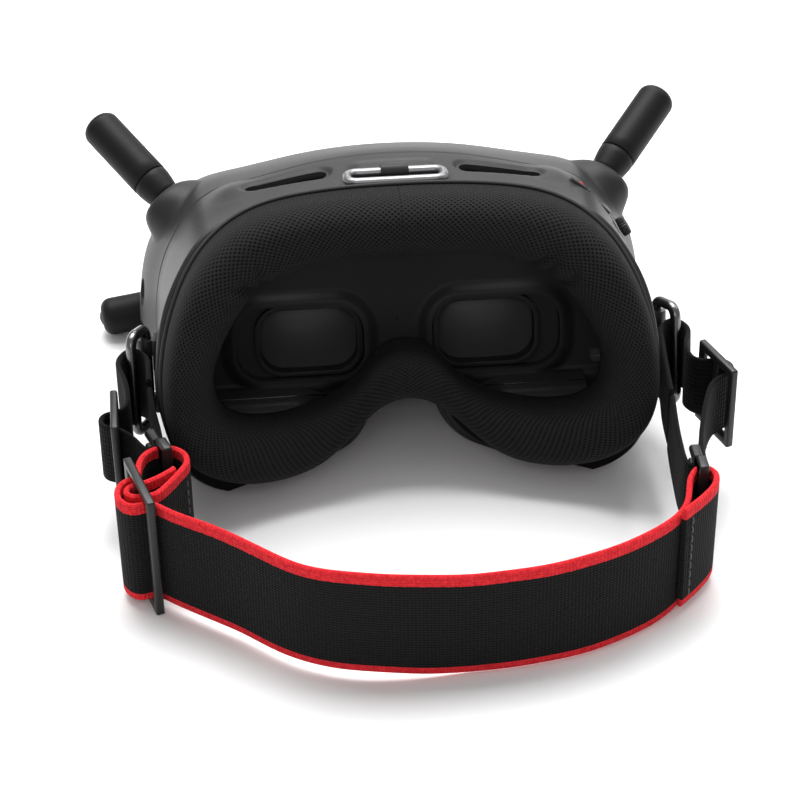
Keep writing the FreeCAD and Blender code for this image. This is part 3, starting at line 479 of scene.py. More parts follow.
def woven(name, grey, rib, cross, strength=0.6, sheen=0.03):
    """Woven webbing: ribs along the weave's first axis, fine cross threads; colour darkened in the grooves
    as painted shade and lightened on the ribs as painted highlight.
    """
    shader = Shader(name, 0.85, specular=0.10)
    parts = shader.split(shader.weave())
    ribs = shader.math("SINE", shader.math("MULTIPLY", parts[1], 2 * math.pi / rib))
    threads = shader.math("SINE", shader.math("MULTIPLY", parts[0], 2 * math.pi / cross))
    cloth = shader.math("ADD", shader.math("MULTIPLY", ribs, 0.5), shader.math("MULTIPLY", threads, 0.5))
    fuzz = shader.noise(1500.0, 2.0)
    height = shader.math("ADD", cloth, fuzz)
    # Colour follows the weave height: painted shade in the grooves, painted highlight on the rib tops; the
    # fuzz adds random fibre tone.
    rib_shade_tone = shader.math("MULTIPLY_ADD", height, 0.25, 0.4)
    dark, light = (grey * 0.55,) * 3, (grey * 1.5,) * 3
    shader.colour(shader.ramp(rib_shade_tone, [(0.2, dark), (0.8, light)]))
    shader.bump(height, strength, 0.00025)
    shader.surface.inputs["Sheen Weight"].default_value = sheen
    return shader


RED_ABOVE, RED_BELOW = 0.0325, 0.0028


def elastic():
    """Woven elastic, black with red edges; weave holds length, height over the lower edge."""
    shader = woven("elastic_band", 0.0065, 0.0009, 0.0011, 0.7)
    parts = shader.split(shader.weave())
    # The black body colour carries the weave's painted shade and painted highlight from woven().
    body_colour = shader.surface.inputs["Base Color"].links[0].from_socket
    wave = shader.noise(900.0, 2.0)
    red = shader.ramp(wave, [(0.25, (0.50, 0.012, 0.018)), (0.75, (0.80, 0.030, 0.040))])
    rough_edge = shader.math("MULTIPLY", shader.math("SUBTRACT", wave, 0.5), 0.0004)
    height = shader.math("ADD", parts[1], rough_edge)
    top = shader.math("GREATER_THAN", height, RED_ABOVE)
    bottom = shader.math("LESS_THAN", height, RED_BELOW)
    mask = shader.math("MAXIMUM", top, bottom)
    mix = shader.nodes.new("ShaderNodeMix")
    mix.data_type = "RGBA"
    shader.links.new(mask, mix.inputs["Factor"])
    shader.links.new(body_colour, mix.inputs[6])
    shader.links.new(red, mix.inputs[7])
    shader.colour(mix.outputs[2])
    return shader.material


def glass():
    shader = Shader("lens_glass", 0.4, coat=0.08, specular=0.35)
    haze = shader.noise(30.0, 2.0)
    shader.colour(shader.ramp(haze, [(0.3, (0.052, 0.052, 0.053)), (0.7, (0.062, 0.062, 0.064))]))
    shader.roughness(haze, 0.36, 0.44)
    return shader.material


def floor_paint():
    shader = Shader("studio_floor", 0.9, specular=0.1)
    drift = shader.noise(3.0, 2.0)
    shader.colour(shader.ramp(drift, [(0.2, (0.90, 0.90, 0.90)), (0.8, (0.93, 0.93, 0.93))]))
    return shader.material


MATERIALS = {
    "shell": plastic("shell", 0.018, 0.46, 1400.0, 0.22, specular=0.22),
    "cover": plastic("cover", 0.018, 0.46, 1400.0, 0.22, specular=0.22),
    "gloss": plastic("gloss", 0.010, 0.12, 300.0, 0.02, coat=0.5),
    "inner": plastic("inner", 0.016, 0.50, 1200.0, 0.2),
    "face": plastic("face", 0.019, 0.55, 1500.0, 0.25),
    "tape": plastic("tape", 0.006, 0.95, 1800.0, 1.0, specular=0.15),
    "steel": plastic("steel", 0.55, 0.30, 700.0, 0.1, metal=1.0, spread=0.06),
    "loop": plastic("loop", 0.26, 0.38, 900.0, 0.1, metal=1.0, spread=0.05),
    "ring": plastic("ring", 0.16, 0.24, 900.0, 0.1, metal=1.0, spread=0.08),
    "display": plastic("display", 0.012, 0.2, 200.0, 0.02),
    "board": plastic("board", 0.008, 0.5, 900.0, 0.3, tint=(0.6, 1.1, 0.8)),
    "sink": plastic("sink", 0.10, 0.5, 700.0, 0.1, metal=1.0, spread=0.05),
    "button": plastic("button", 0.012, 0.42, 1600.0, 0.2),
    "buckle": plastic("buckle", 0.013, 0.36, 1100.0, 0.3),
    "rubber": plastic("rubber", 0.006, 0.5, 1800.0, 0.3, specular=0.16),
    "brass": plastic("brass", 0.6, 0.28, 700.0, 0.1, tint=(1.0, 0.78, 0.40), metal=1.0, spread=0.05),
    "socket": plastic("socket", 0.008, 0.5, 900.0, 0.2),
    "piping": plastic("piping", 0.016, 0.6, 2500.0, 0.8, specular=0.3),
    "thread": plastic("thread", 0.09, 0.7, 3000.0, 0.8),
    "red_dot": plastic("red_dot", 0.5, 0.4, 900.0, 0.1, tint=(1.0, 0.03, 0.03)),
    "foam": air_mesh(), "webbing": woven("webbing", 0.006, 0.0016, 0.0009).material,
    "band": elastic(), "glass": glass(), "floor": floor_paint(),
}
SLOT_MATERIAL = {
    "housing_plastic": "cover", "gloss_panel": "gloss", "inner_plastic": "inner",
    "hook_tape": "tape", "foam_mesh": "foam", "steel_hardware": "steel", "lens_glass": "glass",
    "display_module": "display", "circuit_board": "board", "heat_sink_aluminium": "sink",
    "button_plastic": "button", "loop_steel": "loop", "ring_steel": "ring",
    "bracket_plastic": "buckle", "webbing": "webbing", "elastic_band": "band",
    "buckle_plastic": "buckle", "antenna_rubber": "rubber", "connector_brass": "brass",
    "socket_plastic": "socket"}


def dress_nodes():
    """Give every CAD node the material of its slot."""
    for part in frame["record"]["subparts"]:
        node = NODES[part["node"]]
        node.data.materials.clear()
        node.data.materials.append(MATERIALS[SLOT_MATERIAL[part["material_slot"]]])


dress_nodes()

# ---------------------------------------------------------------- housing shape
SIDE_COUNT, BASE_COUNT, NOSE_COUNT = 210, 46, 40
SHAPE = Spline([s[1:] for s in STATIONS], knots=[s[0] for s in STATIONS])
NOSE = Spline([(-x, z) for x, z in reversed(NOSE_HALF[1:])] + NOSE_HALF)
SLICE_STEP = 0.5
SLICE_Y = np.arange(-34.0, FRONT_Y + 0.01, SLICE_STEP)


def half_outline(y):
    width, top, fall = SHAPE(y)
    half = [(width * a, top * (b - fall * math.sin(math.pi * a ** 2))) for a, b in CROWN]
    half += [(width * a, LOWER_DEPTH * b) for a, b in BELLY] + [(0.0, -LOWER_DEPTH)]
    curve = Spline(half + [(-x, z) for x, z in reversed(half[1:-1])], closed=True)
    return curve(np.linspace(0, curve.knots[len(half) - 1], 400))


def cut_at(points, floor):
    """The part of a falling polyline above the floor, with the crossing point."""
    below = np.nonzero(points[:, 1] < floor)[0]
    if not len(below):
        return points
    k = max(int(below[0]), 1)
    a, b = points[k - 1], points[k]
    share = np.clip((a[1] - floor) / max(a[1] - b[1], 1e-9), 0, 1)
    return np.vstack([points[:k], a + (b - a) * share])


def soften(points, corner, reach, rounds):
    """Round one corner of a polyline by averaging neighbours."""
    p = points.copy()
    low, high = max(corner - reach, 1), min(corner + reach, len(p) - 1)
    for _ in range(rounds):
        p[low:high] = (p[low - 1:high - 1] + 2 * p[low:high] + p[low + 1:high + 1]) / 4
    return p


def slice_at(y):
    """Right half of the housing's outline at one Y, base and nose arch included."""
    floor = max(base_z(y), -LOWER_DEPTH + 0.1)
    side = cut_at(half_outline(y), floor)
    arch = NOSE.spread(800)
    reach = max(8.0, float(np.max(arch[arch[:, 1] - NOSE_FALL * y > floor, 0], initial=0.0)))
    across = np.linspace(0, reach, 300)
    height = np.interp(across, arch[:, 0], arch[:, 1] - NOSE_FALL * y)
    nose = np.stack([across, np.maximum(height, floor)], 1)
    middle = np.array([side[-1], nose[-1]])
    points = np.vstack([even(side, SIDE_COUNT), even(middle, BASE_COUNT)[1:],
                        even(nose[::-1], NOSE_COUNT)[1:]])
    points = soften(points, SIDE_COUNT - 1, 5, 8)
    return soften(points, SIDE_COUNT + BASE_COUNT - 2, 4, 5)


TABLE = full(np.array([slice_at(y) for y in SLICE_Y]))
INWARD = inward_normals(TABLE)
COLUMNS = TABLE.shape[1]


def look_up(table, y):
    """Values of a slice table at one Y per column."""
    at = np.clip((y - SLICE_Y[0]) / SLICE_STEP, 0, len(SLICE_Y) - 1.001)
    k = at.astype(int)
    t = (at - k)[:, None]
    columns = np.arange(table.shape[1])
    return table[k, columns] * (1 - t) + table[k + 1, columns] * t


def shell_ring(y, inset=0.0, swell=None):
    """One ring of housing points, Y given for each column."""
    y = np.broadcast_to(np.asarray(y, float), (COLUMNS,)).copy()
    xz = look_up(TABLE, y)
    normal = look_up(INWARD, y)
    normal /= np.maximum(np.linalg.norm(normal, axis=1, keepdims=True), 1e-9)
    if swell is not None:
        inset = inset - swell(xz[:, 0], y, xz[:, 1])
    xz = xz + normal * np.broadcast_to(inset, (COLUMNS,))[:, None]
    return np.stack([xz[:, 0], y, xz[:, 1]], 1)


def rim_line():
    y = np.full(COLUMNS, -10.0)
    for _ in range(12):
        y = wrap(look_up(TABLE, y)[:, 0])
    return y


RIM_Y = rim_line()


def seam_line():
    """The seam runs square over the top and steps back with an S-bend on each flank."""
    at = look_up(TABLE, np.full(COLUMNS, 30.0))
    return 30.0 - 6.0 * smooth((14.0 - at[:, 1]) / 12.0)


SEAM = seam_line()


def stadium_distance(x, y, centre, length, width):
    dx = np.maximum(np.abs(x - centre[0]) - (length - width) / 2, 0)
    return np.hypot(dx, y - centre[1]) - width / 2


def swell(x, y, z):
    """Soft relief of the moulding over the plain outline, outward in mm."""
    high = smooth((z - 44.0) / 4.0)
    vent = stadium_distance(np.abs(x), y, VENT_CENTRE, VENT_SIZE[0] + 2.4, VENT_SIZE[1] + 2.4)
    dip = -1.0 * smooth(1 - vent / 1.6) * high
    seat_x = smooth((19.0 - np.abs(x)) / 4.0)
    seat = -0.9 * seat_x * smooth((y + 1.0) / 2.5) * smooth((13.5 - y) / 3.0) * high
    plateau_y = smooth((y - 13.0) / 3.0) * smooth((25.0 - y) / 6.0)
    seat += 0.9 * smooth((15.0 - np.abs(x)) / 5.0) * plateau_y * high
    brow = 0.9 * smooth(1 - np.hypot((np.abs(x) - 52.0) / 9.0, (y - 22.0) / 14.0)) * high
    return dip + seat + brow


def boss_swell(x, y, z):
    """The cover rises into a short neck round each upper antenna."""
    aim = np.array(UPPER_AIM) / np.linalg.norm(UPPER_AIM)
    offset = np.stack([np.abs(x) - UPPER_POST[0], y - UPPER_POST[1], z - UPPER_POST[2]], 1)
    depth = offset @ aim
    radial = np.linalg.norm(offset - depth[:, None] * aim, axis=1)
    lift = np.clip(-depth, 0, 9.0) * smooth((13.5 - radial) / 6.5)
    return np.where(z > 10, lift, 0.0)


def disc_rings(edge, centre, shares, y):
    """Rings of an edge shrunk towards a centre, all at one Y."""
    rings = []
    for share in shares:
        ring = centre + (edge - centre) * share
        ring[:, 1] = y
        rings.append(ring)
    return rings


# ---------------------------------------------------------------- rear shell
def rear_shell():
    edge = 1.3
    rings = [shell_ring(SEAM - 0.3, 0.5, swell), shell_ring(SEAM - 0.35, 0.22, swell),
             shell_ring(SEAM - 0.7, 0.0, swell)]
    for share in np.linspace(0, 1, 62)[1:]:
        y = SEAM - 0.7 + (RIM_Y + edge - SEAM + 0.7) * share
        rings.append(shell_ring(y, 0.0, swell))
    for angle in np.linspace(0, math.pi / 2, 7)[1:]:
        ring = shell_ring(RIM_Y + edge - edge * math.sin(angle), edge * (1 - math.cos(angle)))
        rings.append(ring)
    for inset in np.linspace(edge, 7.6, 8)[1:]:
        ring = shell_ring(RIM_Y, inset)
        ring[:, 1] = wrap(ring[:, 0])
        rings.append(ring)
    for inset, push in ((7.6, 2.2), (2.2, 2.4)):
        ring = shell_ring(RIM_Y + push, inset)
        ring[:, 1] = wrap(ring[:, 0]) + push
        rings.append(ring)
    rings.append(shell_ring(SEAM - 0.3, WALL))
    piece = grid("rear_shell_skin", row(np.array(rings)), True, True)
    cutters = []
    for side in (-1, 1):
        slot = stadium((side * VENT_CENTRE[0], VENT_CENTRE[1]), *VENT_MOUTH)
        cutters.append(pushed("cut_vent", slot, 40, 75, (0, 1)))
        notch = rounded_box((side * 7.3, 0.5), 5.8, 8.0, 0.8, 5)
        cutters.append(pushed("cut_notch", notch, 50.4, 60.0, (0, 1)))
    cutters += control_cutters()
    cut_with(piece, cutters)
    return put(piece, "housing", "housing_plastic", "shell", "rear_shell")


# Length and width of each control's opening.
CONTROLS = {"record_button": (7.9, 5.0), "back_button": (6.0, 6.0), "joystick_cap": (10.8, 10.8)}


def control_axis(name):
    """Middle and direction of a control, from its own joint."""
    low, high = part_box(name)
    joints = {j["child"]: j for j in frame["joints"]}
    press = joints["joystick_plunger" if name == "joystick_cap" else name]
    return (low + high) / 2, -Vector(press["axis"]).normalized()


def control_frame(name):
    """Frame on a control: Z outward, X along the bevel."""
    middle, aim = control_axis(name)
    forward = Vector((0.0, math.cos(PITCH), -math.sin(PITCH)))
    across = forward.cross(aim).normalized()
    turn = Matrix((across, aim.cross(across), aim)).transposed().to_4x4()
    turn.translation = middle
    return turn


def control_cutters():
    cutters = []
    for name, (length, width) in CONTROLS.items():
        ring = stadium((0, 0), length, width, 20)
        cutter = pushed("cut_control", ring, -9, 12, (0, 1), turn=lambda p: p * MM)
        cutter.data.transform(control_frame(name))
        cutters.append(cutter)
    return cutters


# ---------------------------------------------------------------- front cover
def front_cover():
    bend = 3.0
    centre = np.array([0.0, 0.0, 10.0])
    flat = shell_ring(FRONT_Y - WALL, WALL)
    rings = disc_rings(flat, centre, np.linspace(0.02, 1, 8), FRONT_Y - WALL)
    for share in np.linspace(0, 1, 30)[1:]:
        rings.append(shell_ring(FRONT_Y - WALL + (SEAM + 0.3 - FRONT_Y + WALL) * share, WALL, boss_swell))
    rings += [shell_ring(SEAM + 0.3, 0.5, swell), shell_ring(SEAM + 0.35, 0.22, swell)]
    for share in np.linspace(0, 1, 90):
        y = SEAM + 0.7 + (FRONT_Y - bend - SEAM - 0.7) * share
        rings.append(shell_ring(y, 0.0, boss_swell))
    for angle in np.linspace(0, math.pi / 2, 8)[1:]:
        y = FRONT_Y - bend + bend * math.sin(angle)
        rings.append(shell_ring(y, bend * (1 - math.cos(angle))))
    flat = shell_ring(FRONT_Y, bend)
    rings += disc_rings(flat, centre, np.linspace(1, 0.02, 8)[1:], FRONT_Y)
    piece = grid("front_cover_skin", row(np.array(rings)), False, True)
    fix_normals(piece, cap=True)
    fix_normals(piece, merge=MERGE)
    cut_with(piece, cover_cutters())
    return put(piece, "housing", "housing_plastic", "cover", "front_cover")


KNOB_SLOT, USB_CENTRE = (32.5, 41.0), (53.0, 0.5)
PORT_HOLES = [(1, 54.0, 12.0, 3.5), (1, 54.0, 1.5, 3.5), (-1, 53.0, 13.0, 4.7)]
FRONT_BUTTONS = [(62.0, 33.5), (62.0, 22.5), (-62.0, 28.0)]
DISPLAY_CENTRE = (44.0, 28.0)
FAN_CENTRE, FAN_R = (0.0, 19.0), 15.5


def circle(centre, radius, count=40):
    angles = full_turn(count)
    return np.stack([centre[0] + radius * np.cos(angles), centre[1] + radius * np.sin(angles)], 1)


def aimed_cylinder(name, start, aim, low, high, radius):
    """Closed cylinder cutter along an aim in the goggles frame."""
    aim = np.asarray(aim, float) / np.linalg.norm(aim)
    piece = lathe(name, [(radius, low), (radius, high)], start, aim, 48)
    fix_normals(piece, cap=True)
    return piece


def cover_cutters():
    cutters = []
    for side in (-1, 1):
        x = sorted((side * CORNER_NOTCH[0], side * 130.0))
        corner = rounded_box(((x[0] + x[1]) / 2, (CORNER_NOTCH[1] + 130) / 2),
                             x[1] - x[0], 130 - CORNER_NOTCH[1], 2.5, 6)
        cutters.append(pushed("cut_corner", corner, -60, CORNER_NOTCH[2], (0, 1)))
        post, aim = np.array(UPPER_POST) * (side, 1, 1), np.array(UPPER_AIM) * (side, 1, 1)
        cutters.append(aimed_cylinder("cut_boss", post, aim, -0.2, 20, 7.3))
        slot = rounded_box((side * KNOB_SLOT[0], KNOB_SLOT[1]), 17.0, 6.0, 1.0, 4)
        cutters.append(pushed("cut_knob", slot, -30, -13, (0, 1)))
    for side, y, z, radius in PORT_HOLES:
        x = sorted((side * 70.0, side * 110.0))
        cutters.append(pushed("cut_port", circle((y, z), radius), x[0], x[1], (1, 2)))
    usb = rounded_box(USB_CENTRE, 9.8, 4.2, 1.6, 6)
    cutters.append(pushed("cut_usb", usb, -110, -70, (1, 2)))
    cutters.append(pushed("cut_fan", circle(FAN_CENTRE, FAN_R + 0.5, 64), 78, 95, (0, 2)))
    for centre in FRONT_BUTTONS:
        cutters.append(pushed("cut_button", circle(centre, 2.85), 70, 95, (0, 2)))
    display = rounded_box(DISPLAY_CENTRE, 14.0, 8.0, 0.6, 4)
    cutters.append(pushed("cut_display", display, 80, 95, (0, 2)))
    return cutters


# ---------------------------------------------------------------- face pad
FOAM_COLUMNS = 460


def half_line(half, count):
    curve = Spline(half + [(-x, z) for x, z in reversed(half[1:-1])], closed=True)
    return even(curve(np.linspace(0, curve.knots[len(half) - 1], 900)), count)


def face_pad():
    """Foam ring with a crowned section, wrinkled at the upper inner corners."""
    outer = full(half_line(FOAM_OUTER, FOAM_COLUMNS))
    inner = full(half_line(FOAM_INNER, FOAM_COLUMNS))
    middle = (outer + inner) / 2
    steps = np.linalg.norm(np.roll(middle, -1, axis=0) - middle, axis=1)
    along = np.concatenate([[0], np.cumsum(steps)[:-1]])
    total = steps.sum()
    angles = np.linspace(0, math.pi, 90)
    cross = 0.5 - 0.5 * np.sign(np.cos(angles)) * np.abs(np.cos(angles)) ** 0.72
    height = np.abs(np.sin(angles)) ** 0.62
    points = outer[None] + (inner - outer)[None] * cross[:, None, None]
    x, z = points[..., 0], points[..., 1]
    front = wrap(x, FACE_RADIUS - 2.3)
    rise = FOAM_DEPTH * height[:, None] * np.ones_like(x)
    crease = np.zeros_like(x)
    for place in (0.262, 0.310, 0.286):
        for centre in (place * total / 2, total - place * total / 2):
            away = along - centre
            away = (away + total / 2) % total - total / 2
            bend = 2.2 * np.sin(cross * 5.0 + place * 60)[:, None]
            fold = np.exp(-((away[None] + bend) / 1.5) ** 2)
            crease += 1.15 * fold * smooth((cross - 0.50) / 0.25)[:, None]
    soft = 0.35 * np.sin(x / 7.3 + z / 9.1) * np.sin(z / 6.1 - x / 11.0)
    depth = np.where(height[:, None] > 0.05, rise - crease - soft * height[:, None], 0)
    pull = (middle - points) / np.maximum(np.linalg.norm(middle - points, axis=-1, keepdims=True), 1.0)
    points = points + pull * (crease * 0.9)[..., None]
    solid = np.stack([points[..., 0], front - np.minimum(depth, FOAM_DEPTH + 0.5), points[..., 1]], -1)
    run = np.concatenate([[0], np.cumsum(np.linalg.norm(np.diff(solid, axis=0), axis=-1).mean(1))])
    weave = np.zeros(solid.shape)
    weave[..., 0] = along[None] * MM
    weave[..., 1] = run[:, None] * MM
    piece = grid("face_pad", row(solid), True, True, weave)
    put(piece, "housing", "foam_mesh", "foam", "face_foam")
    normals = inward_normals(outer)
    line = outer - normals * 0.5
    path = np.stack([line[:, 0], wrap(line[:, 0], FACE_RADIUS - 2.3) - 1.3, line[:, 1]], -1)
    welt = tube("face_pad_welt", row(path), 0.75 * MM, 8, closed=True)
    put(welt, "housing", "foam_mesh", "piping")


# ---------------------------------------------------------------- face plate
EYE_X, LENS_X = 32.5, 29.5
SLOT_LENGTH, SLOT_HEIGHT, SLOT_CORNER = 42.5, 25.0, 9.5
PLATE_Y, PLATE_BACK = 26.0, 28.5


def slot_distance(x, z):
    """Distance outside the nearest eye slot's edge."""
    dx = np.maximum(np.abs(np.abs(x) - EYE_X) - (SLOT_LENGTH / 2 - SLOT_CORNER), 0)
    dz = np.maximum(np.abs(z) - (SLOT_HEIGHT / 2 - SLOT_CORNER), 0)
    return np.hypot(dx, dz) - SLOT_CORNER


def face_plate():
    """Plate behind the pad with a raised collar round each eye slot."""
    rings = []
    centre = np.array([0.0, 0.0, 6.0])
    edge = shell_ring(PLATE_Y, WALL + 0.4)
    shares = np.linspace(1.0, 0.005, 100)
    for share in shares:
        ring = centre + (edge - centre) * share
        away = slot_distance(ring[:, 0], ring[:, 2])
        lift = 2.4 * smooth(1 - (away - 1.0) / 4.2)
        low = -1.6 * smooth((-13.5 - ring[:, 2]) / 3.0) * smooth((np.abs(ring[:, 0]) - 20) / 6)
        ring[:, 1] = PLATE_Y - lift + low
        rings.append(ring)
    rings += disc_rings(edge, centre, shares[::-8], PLATE_BACK)
    rings[-1] = edge.copy()
    rings[-1][:, 1] = PLATE_BACK
    piece = grid("face_plate_skin", row(np.array(rings)), True, True)
    cutters = []
    for side in (-1, 1):
        slot = rounded_box((side * EYE_X, 0.0), SLOT_LENGTH, SLOT_HEIGHT, SLOT_CORNER, 16)
        cutters.append(pushed("cut_eye", slot, 20, 32, (0, 2)))
    cut_with(piece, cutters, 40)
    put(piece, "housing", "housing_plastic", "face", "face_plate")
    shelves()
    curtains()


def curtains():
    """Dark plate round each lens barrel that closes the eye slot behind it."""
    for side, word in ((-1, "left"), (1, "right")):
        hole = rounded_box((side * LENS_X, 0.0), 35.6, 24.1, 9.0, 16)
        outline = rounded_box((side * LENS_X, 0.0), 52.0, 28.6, 10.0, 16)
        rings = []
        for flat, y in ((hole, 29.3), (outline, 29.3), (outline, 30.1), (hole, 30.1)):
            rings.append(np.stack([flat[:, 0], np.full(len(flat), y), flat[:, 1]], 1))
        curtain = grid(word + "_light_curtain", row(np.array(rings)), True, True, sharp=30)
        put(curtain, word + "_optics", "inner_plastic", "inner")


def shelves():
    """Ledges under the eyes that run from the plate back to the pad."""
    for side, word in ((-1, "left"), (1, "right")):
        x = np.linspace(21.0, 61.0, 60)
        fade = smooth((x - 21.0) / 14.0)
        section = [(26.2, -14.6), (20.0, -15.4), (15.0, -16.6), (12.8, -17.6), (12.0, -18.6),
                   (11.6, -19.4), (11.5, -20.2)]
        line = even(Spline(section).spread(60), 34)
        points = np.zeros((len(line), len(x), 3))
        points[..., 0] = side * x
        points[..., 1] = 26.2 + (line[:, None, 0] - 26.2) * fade
        points[..., 2] = line[:, None, 1] + 0.06 * (x - 40.0) * (1 - fade) - 2.0 * (1 - fade)
        piece = grid(word + "_cheek_ledge", row(points))
        put(piece, "housing", "housing_plastic", "inner")
        tip = tube(word + "_ledge_bead", row(points[18]), 0.28 * MM, 6)
        put(tip, "housing", "housing_plastic", "gloss")


# ---------------------------------------------------------------- small hard parts
def rounded_copy(node, width, material, slot):
    """Copy of a CAD node with its sharp edges rounded over."""
    piece = bpy.data.objects.new(node + "_body", NODES[node].data.copy())
    bpy.context.scene.collection.objects.link(piece)
    fix_normals(piece, merge=MERGE, flatten=True)
    change = piece.modifiers.new("round", "BEVEL")
    change.width = width * MM
    change.segments = 3
    change.limit_method = "ANGLE"
    change.angle_limit = math.radians(28)
    apply_modifiers(piece)
    shade(piece, 40)
    return put(piece, NODES[node]["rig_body"], slot, material, node)


# Nodes that get rounded edges: width of the rounding, material, slot.
ROUNDED = [
    ("right_hook left_hook band_slider right_webbing_slider left_webbing_slider",
     0.7, "buckle", "buckle_plastic"),
    ("left_ring_bracket right_ring_bracket", 0.35, "buckle", "bracket_plastic"),
    ("top_loop_bracket", 0.5, "shell", "bracket_plastic"),
    ("record_button", 0.3, "button", "button_plastic"),
    ("back_button left_lens_knob right_lens_knob channel_up_button channel_down_button link_button",
     0.4, "button", "button_plastic"),
    ("left_lens_barrel right_lens_barrel", 0.5, "inner", "inner_plastic"),
    ("visor_panel", 0.6, "gloss", "gloss_panel"),
    ("intake_grille", 0.25, "inner", "inner_plastic"),
    ("audio_jack av_in_jack", 0.25, "socket", "socket_plastic"),
    ("power_jack", 0.3, "socket", "socket_plastic"),
    ("usb_c_port", 0.2, "steel", "socket_plastic"),
    ("channel_display", 0.2, "display", "gloss_panel")]


def hard_parts():
    for nodes, width, material, slot in ROUNDED:
        for node in nodes.split():
            rounded_copy(node, width, material, slot)


def antennas():
    profile = [(3.2, 1.4), (5.2, 1.4), (5.4, 1.6), (5.55, 2.6), (6.0, 5.0), (6.35, 7.6), (6.42, 9.3),
               (6.32, 9.5), (6.02, 9.62), (6.0, 9.9), (6.3, 10.0), (6.5, 10.2), (6.5, 14.0), (6.5, 35.0)]
    for angle in np.linspace(0, math.pi / 2, 12):
        profile.append((2.6 + 3.9 * math.cos(angle), 35.4 + 3.7 * math.sin(angle)))
    profile += [(1.6, 39.6), (0.0, 39.9)]
    places = [("upper_left_antenna", UPPER_POST, UPPER_AIM, -1),
              ("upper_right_antenna", UPPER_POST, UPPER_AIM, 1),
              ("lower_left_antenna", LOWER_POST, LOWER_AIM, -1)]
    for node, post, aim, side in places:
        flip = np.array([side, 1, 1])
        piece = lathe(node + "_cover", profile, np.array(post) * flip, np.array(aim) * flip, 72, 50)
        put(piece, node, "antenna_rubber", "rubber", node)


def stick():
    """Ribbed thumb cap of the five-way stick, and the record button's red dot."""
    low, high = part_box("joystick_cap")
    turn = control_frame("joystick_cap")
    turn.translation = (low + high) / 2
    rings = []
    for radius, level in ((1.4, -1.4), (2.9, -1.3), (3.1, -1.0), (3.1, 1.0), (2.9, 1.35), (2.4, 1.5),
                          (1.6, 1.2), (0.9, 0.95), (0.05, 0.85)):
        angles = full_turn(96)
        ribs = radius + (0.14 * np.cos(angles * 24) if 2.8 < radius else 0)
        rings.append(np.stack([ribs * np.cos(angles), ribs * np.sin(angles), np.full(96, level)], 1))
    piece = grid("thumb_stick", np.array(rings) * MM, False, True, sharp=50)
    piece.data.transform(turn)
    put(piece, "joystick_cap", "button_plastic", "button", "joystick_cap")
    low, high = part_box("record_button")
    turn = control_frame("record_button")
    aim = turn.col[2].to_3d()
    corner = max((v.co for v in NODES["record_button"].data.vertices), key=lambda co: co.dot(aim))
    middle = Vector(turn.translation)
    turn.translation = middle + aim * ((corner - middle).dot(aim) + 0.00002)
    ring = [(r * math.cos(a), r * math.sin(a), 0.25 * (1 - (r / 0.85) ** 2)) for r in (0.02, 0.4, 0.7, 0.85)
            for a in full_turn(24)]
    dot = grid("record_dot", np.array(ring).reshape(4, 24, 3) * MM, False, True)
    dot.data.transform(turn)
    put(dot, "record_button", "button_plastic", "red_dot")


# ---------------------------------------------------------------- strap
BAND_Z, BAND_WIDTH, BAND_THICK = 2.8, 36.0, 1.8
BAND_PATH = [
    (-73.6, -110.0), (-76.0, -112.2), (-78.6, -114.2), (-81.5, -116.0), (-84.5, -117.2),
    (-87.2, -118.6), (-87.5, -121.4), (-85.4, -123.0), (-82.8, -123.0), (-80.0, -122.6),
    (-76.8, -119.6), (-74.0, -115.2), (-71.6, -111.2), (-69.9, -107.4), (-70.3, -103.6),
    (-72.8, -100.6), (-77.2, -99.5), (-81.3, -101.2), (-83.6, -104.8), (-84.4, -109.0),
    (-85.4, -113.6), (-88.2, -115.4), (-90.2, -119.4), (-89.2, -124.6), (-85.6, -127.4),
    (-81.7, -126.6), (-76.5, -129.6), (-66.0, -137.6), (-56.0, -145.4), (-39.0, -159.6),
    (-21.5, -165.7), (4.5, -166.8), (39.5, -162.4), (60.0, -153.6), (70.6, -145.6),
    (75.5, -138.8), (77.4, -132.6), (79.0, -127.6), (82.2, -124.6), (85.4, -127.4),
    (85.2, -132.0), (82.0, -137.2), (78.2, -141.4), (73.4, -146.2)]
WEB_WIDTH, WEB_THICK = 21.0, 1.5
RIGHT_WEB_PATH = [
    (79.9, -88.0, 28.0, 0), (79.4, -99.0, 25.5, 0), (79.3, -109.0, 23.5, 0),
    (79.4, -114.8, 23.5, 0), (80.2, -117.2, 23.5, 0), (82.2, -118.0, 23.5, 0),
    (84.2, -117.2, 23.5, 0), (85.0, -114.8, 23.5, 0), (85.4, -109.0, 23.5, 0),
    (87.4, -99.0, 26.0, 0), (91.0, -88.4, 29.0, 0), (94.0, -83.6, 30.0, 0),
    (97.5, -81.4, 30.5, 0), (99.9, -79.0, 30.5, 0), (99.9, -75.6, 30.5, 0),
    (97.6, -73.4, 30.5, 0), (94.4, -73.1, 30.5, 0), (90.6, -72.4, 30.6, 0),
    (88.4, -69.2, 30.7, 0), (88.4, -64.8, 31.0, 0.2), (90.2, -58.4, 31.0, 0.325),
    (86.4, -53.1, 31.0, 0.325), (82.2, -56.4, 31.0, 0.325), (81.2, -61.6, 31.0, 0.3),
    (80.4, -72.0, 30.5, 0.1), (80.0, -85.6, 28.6, 0)]
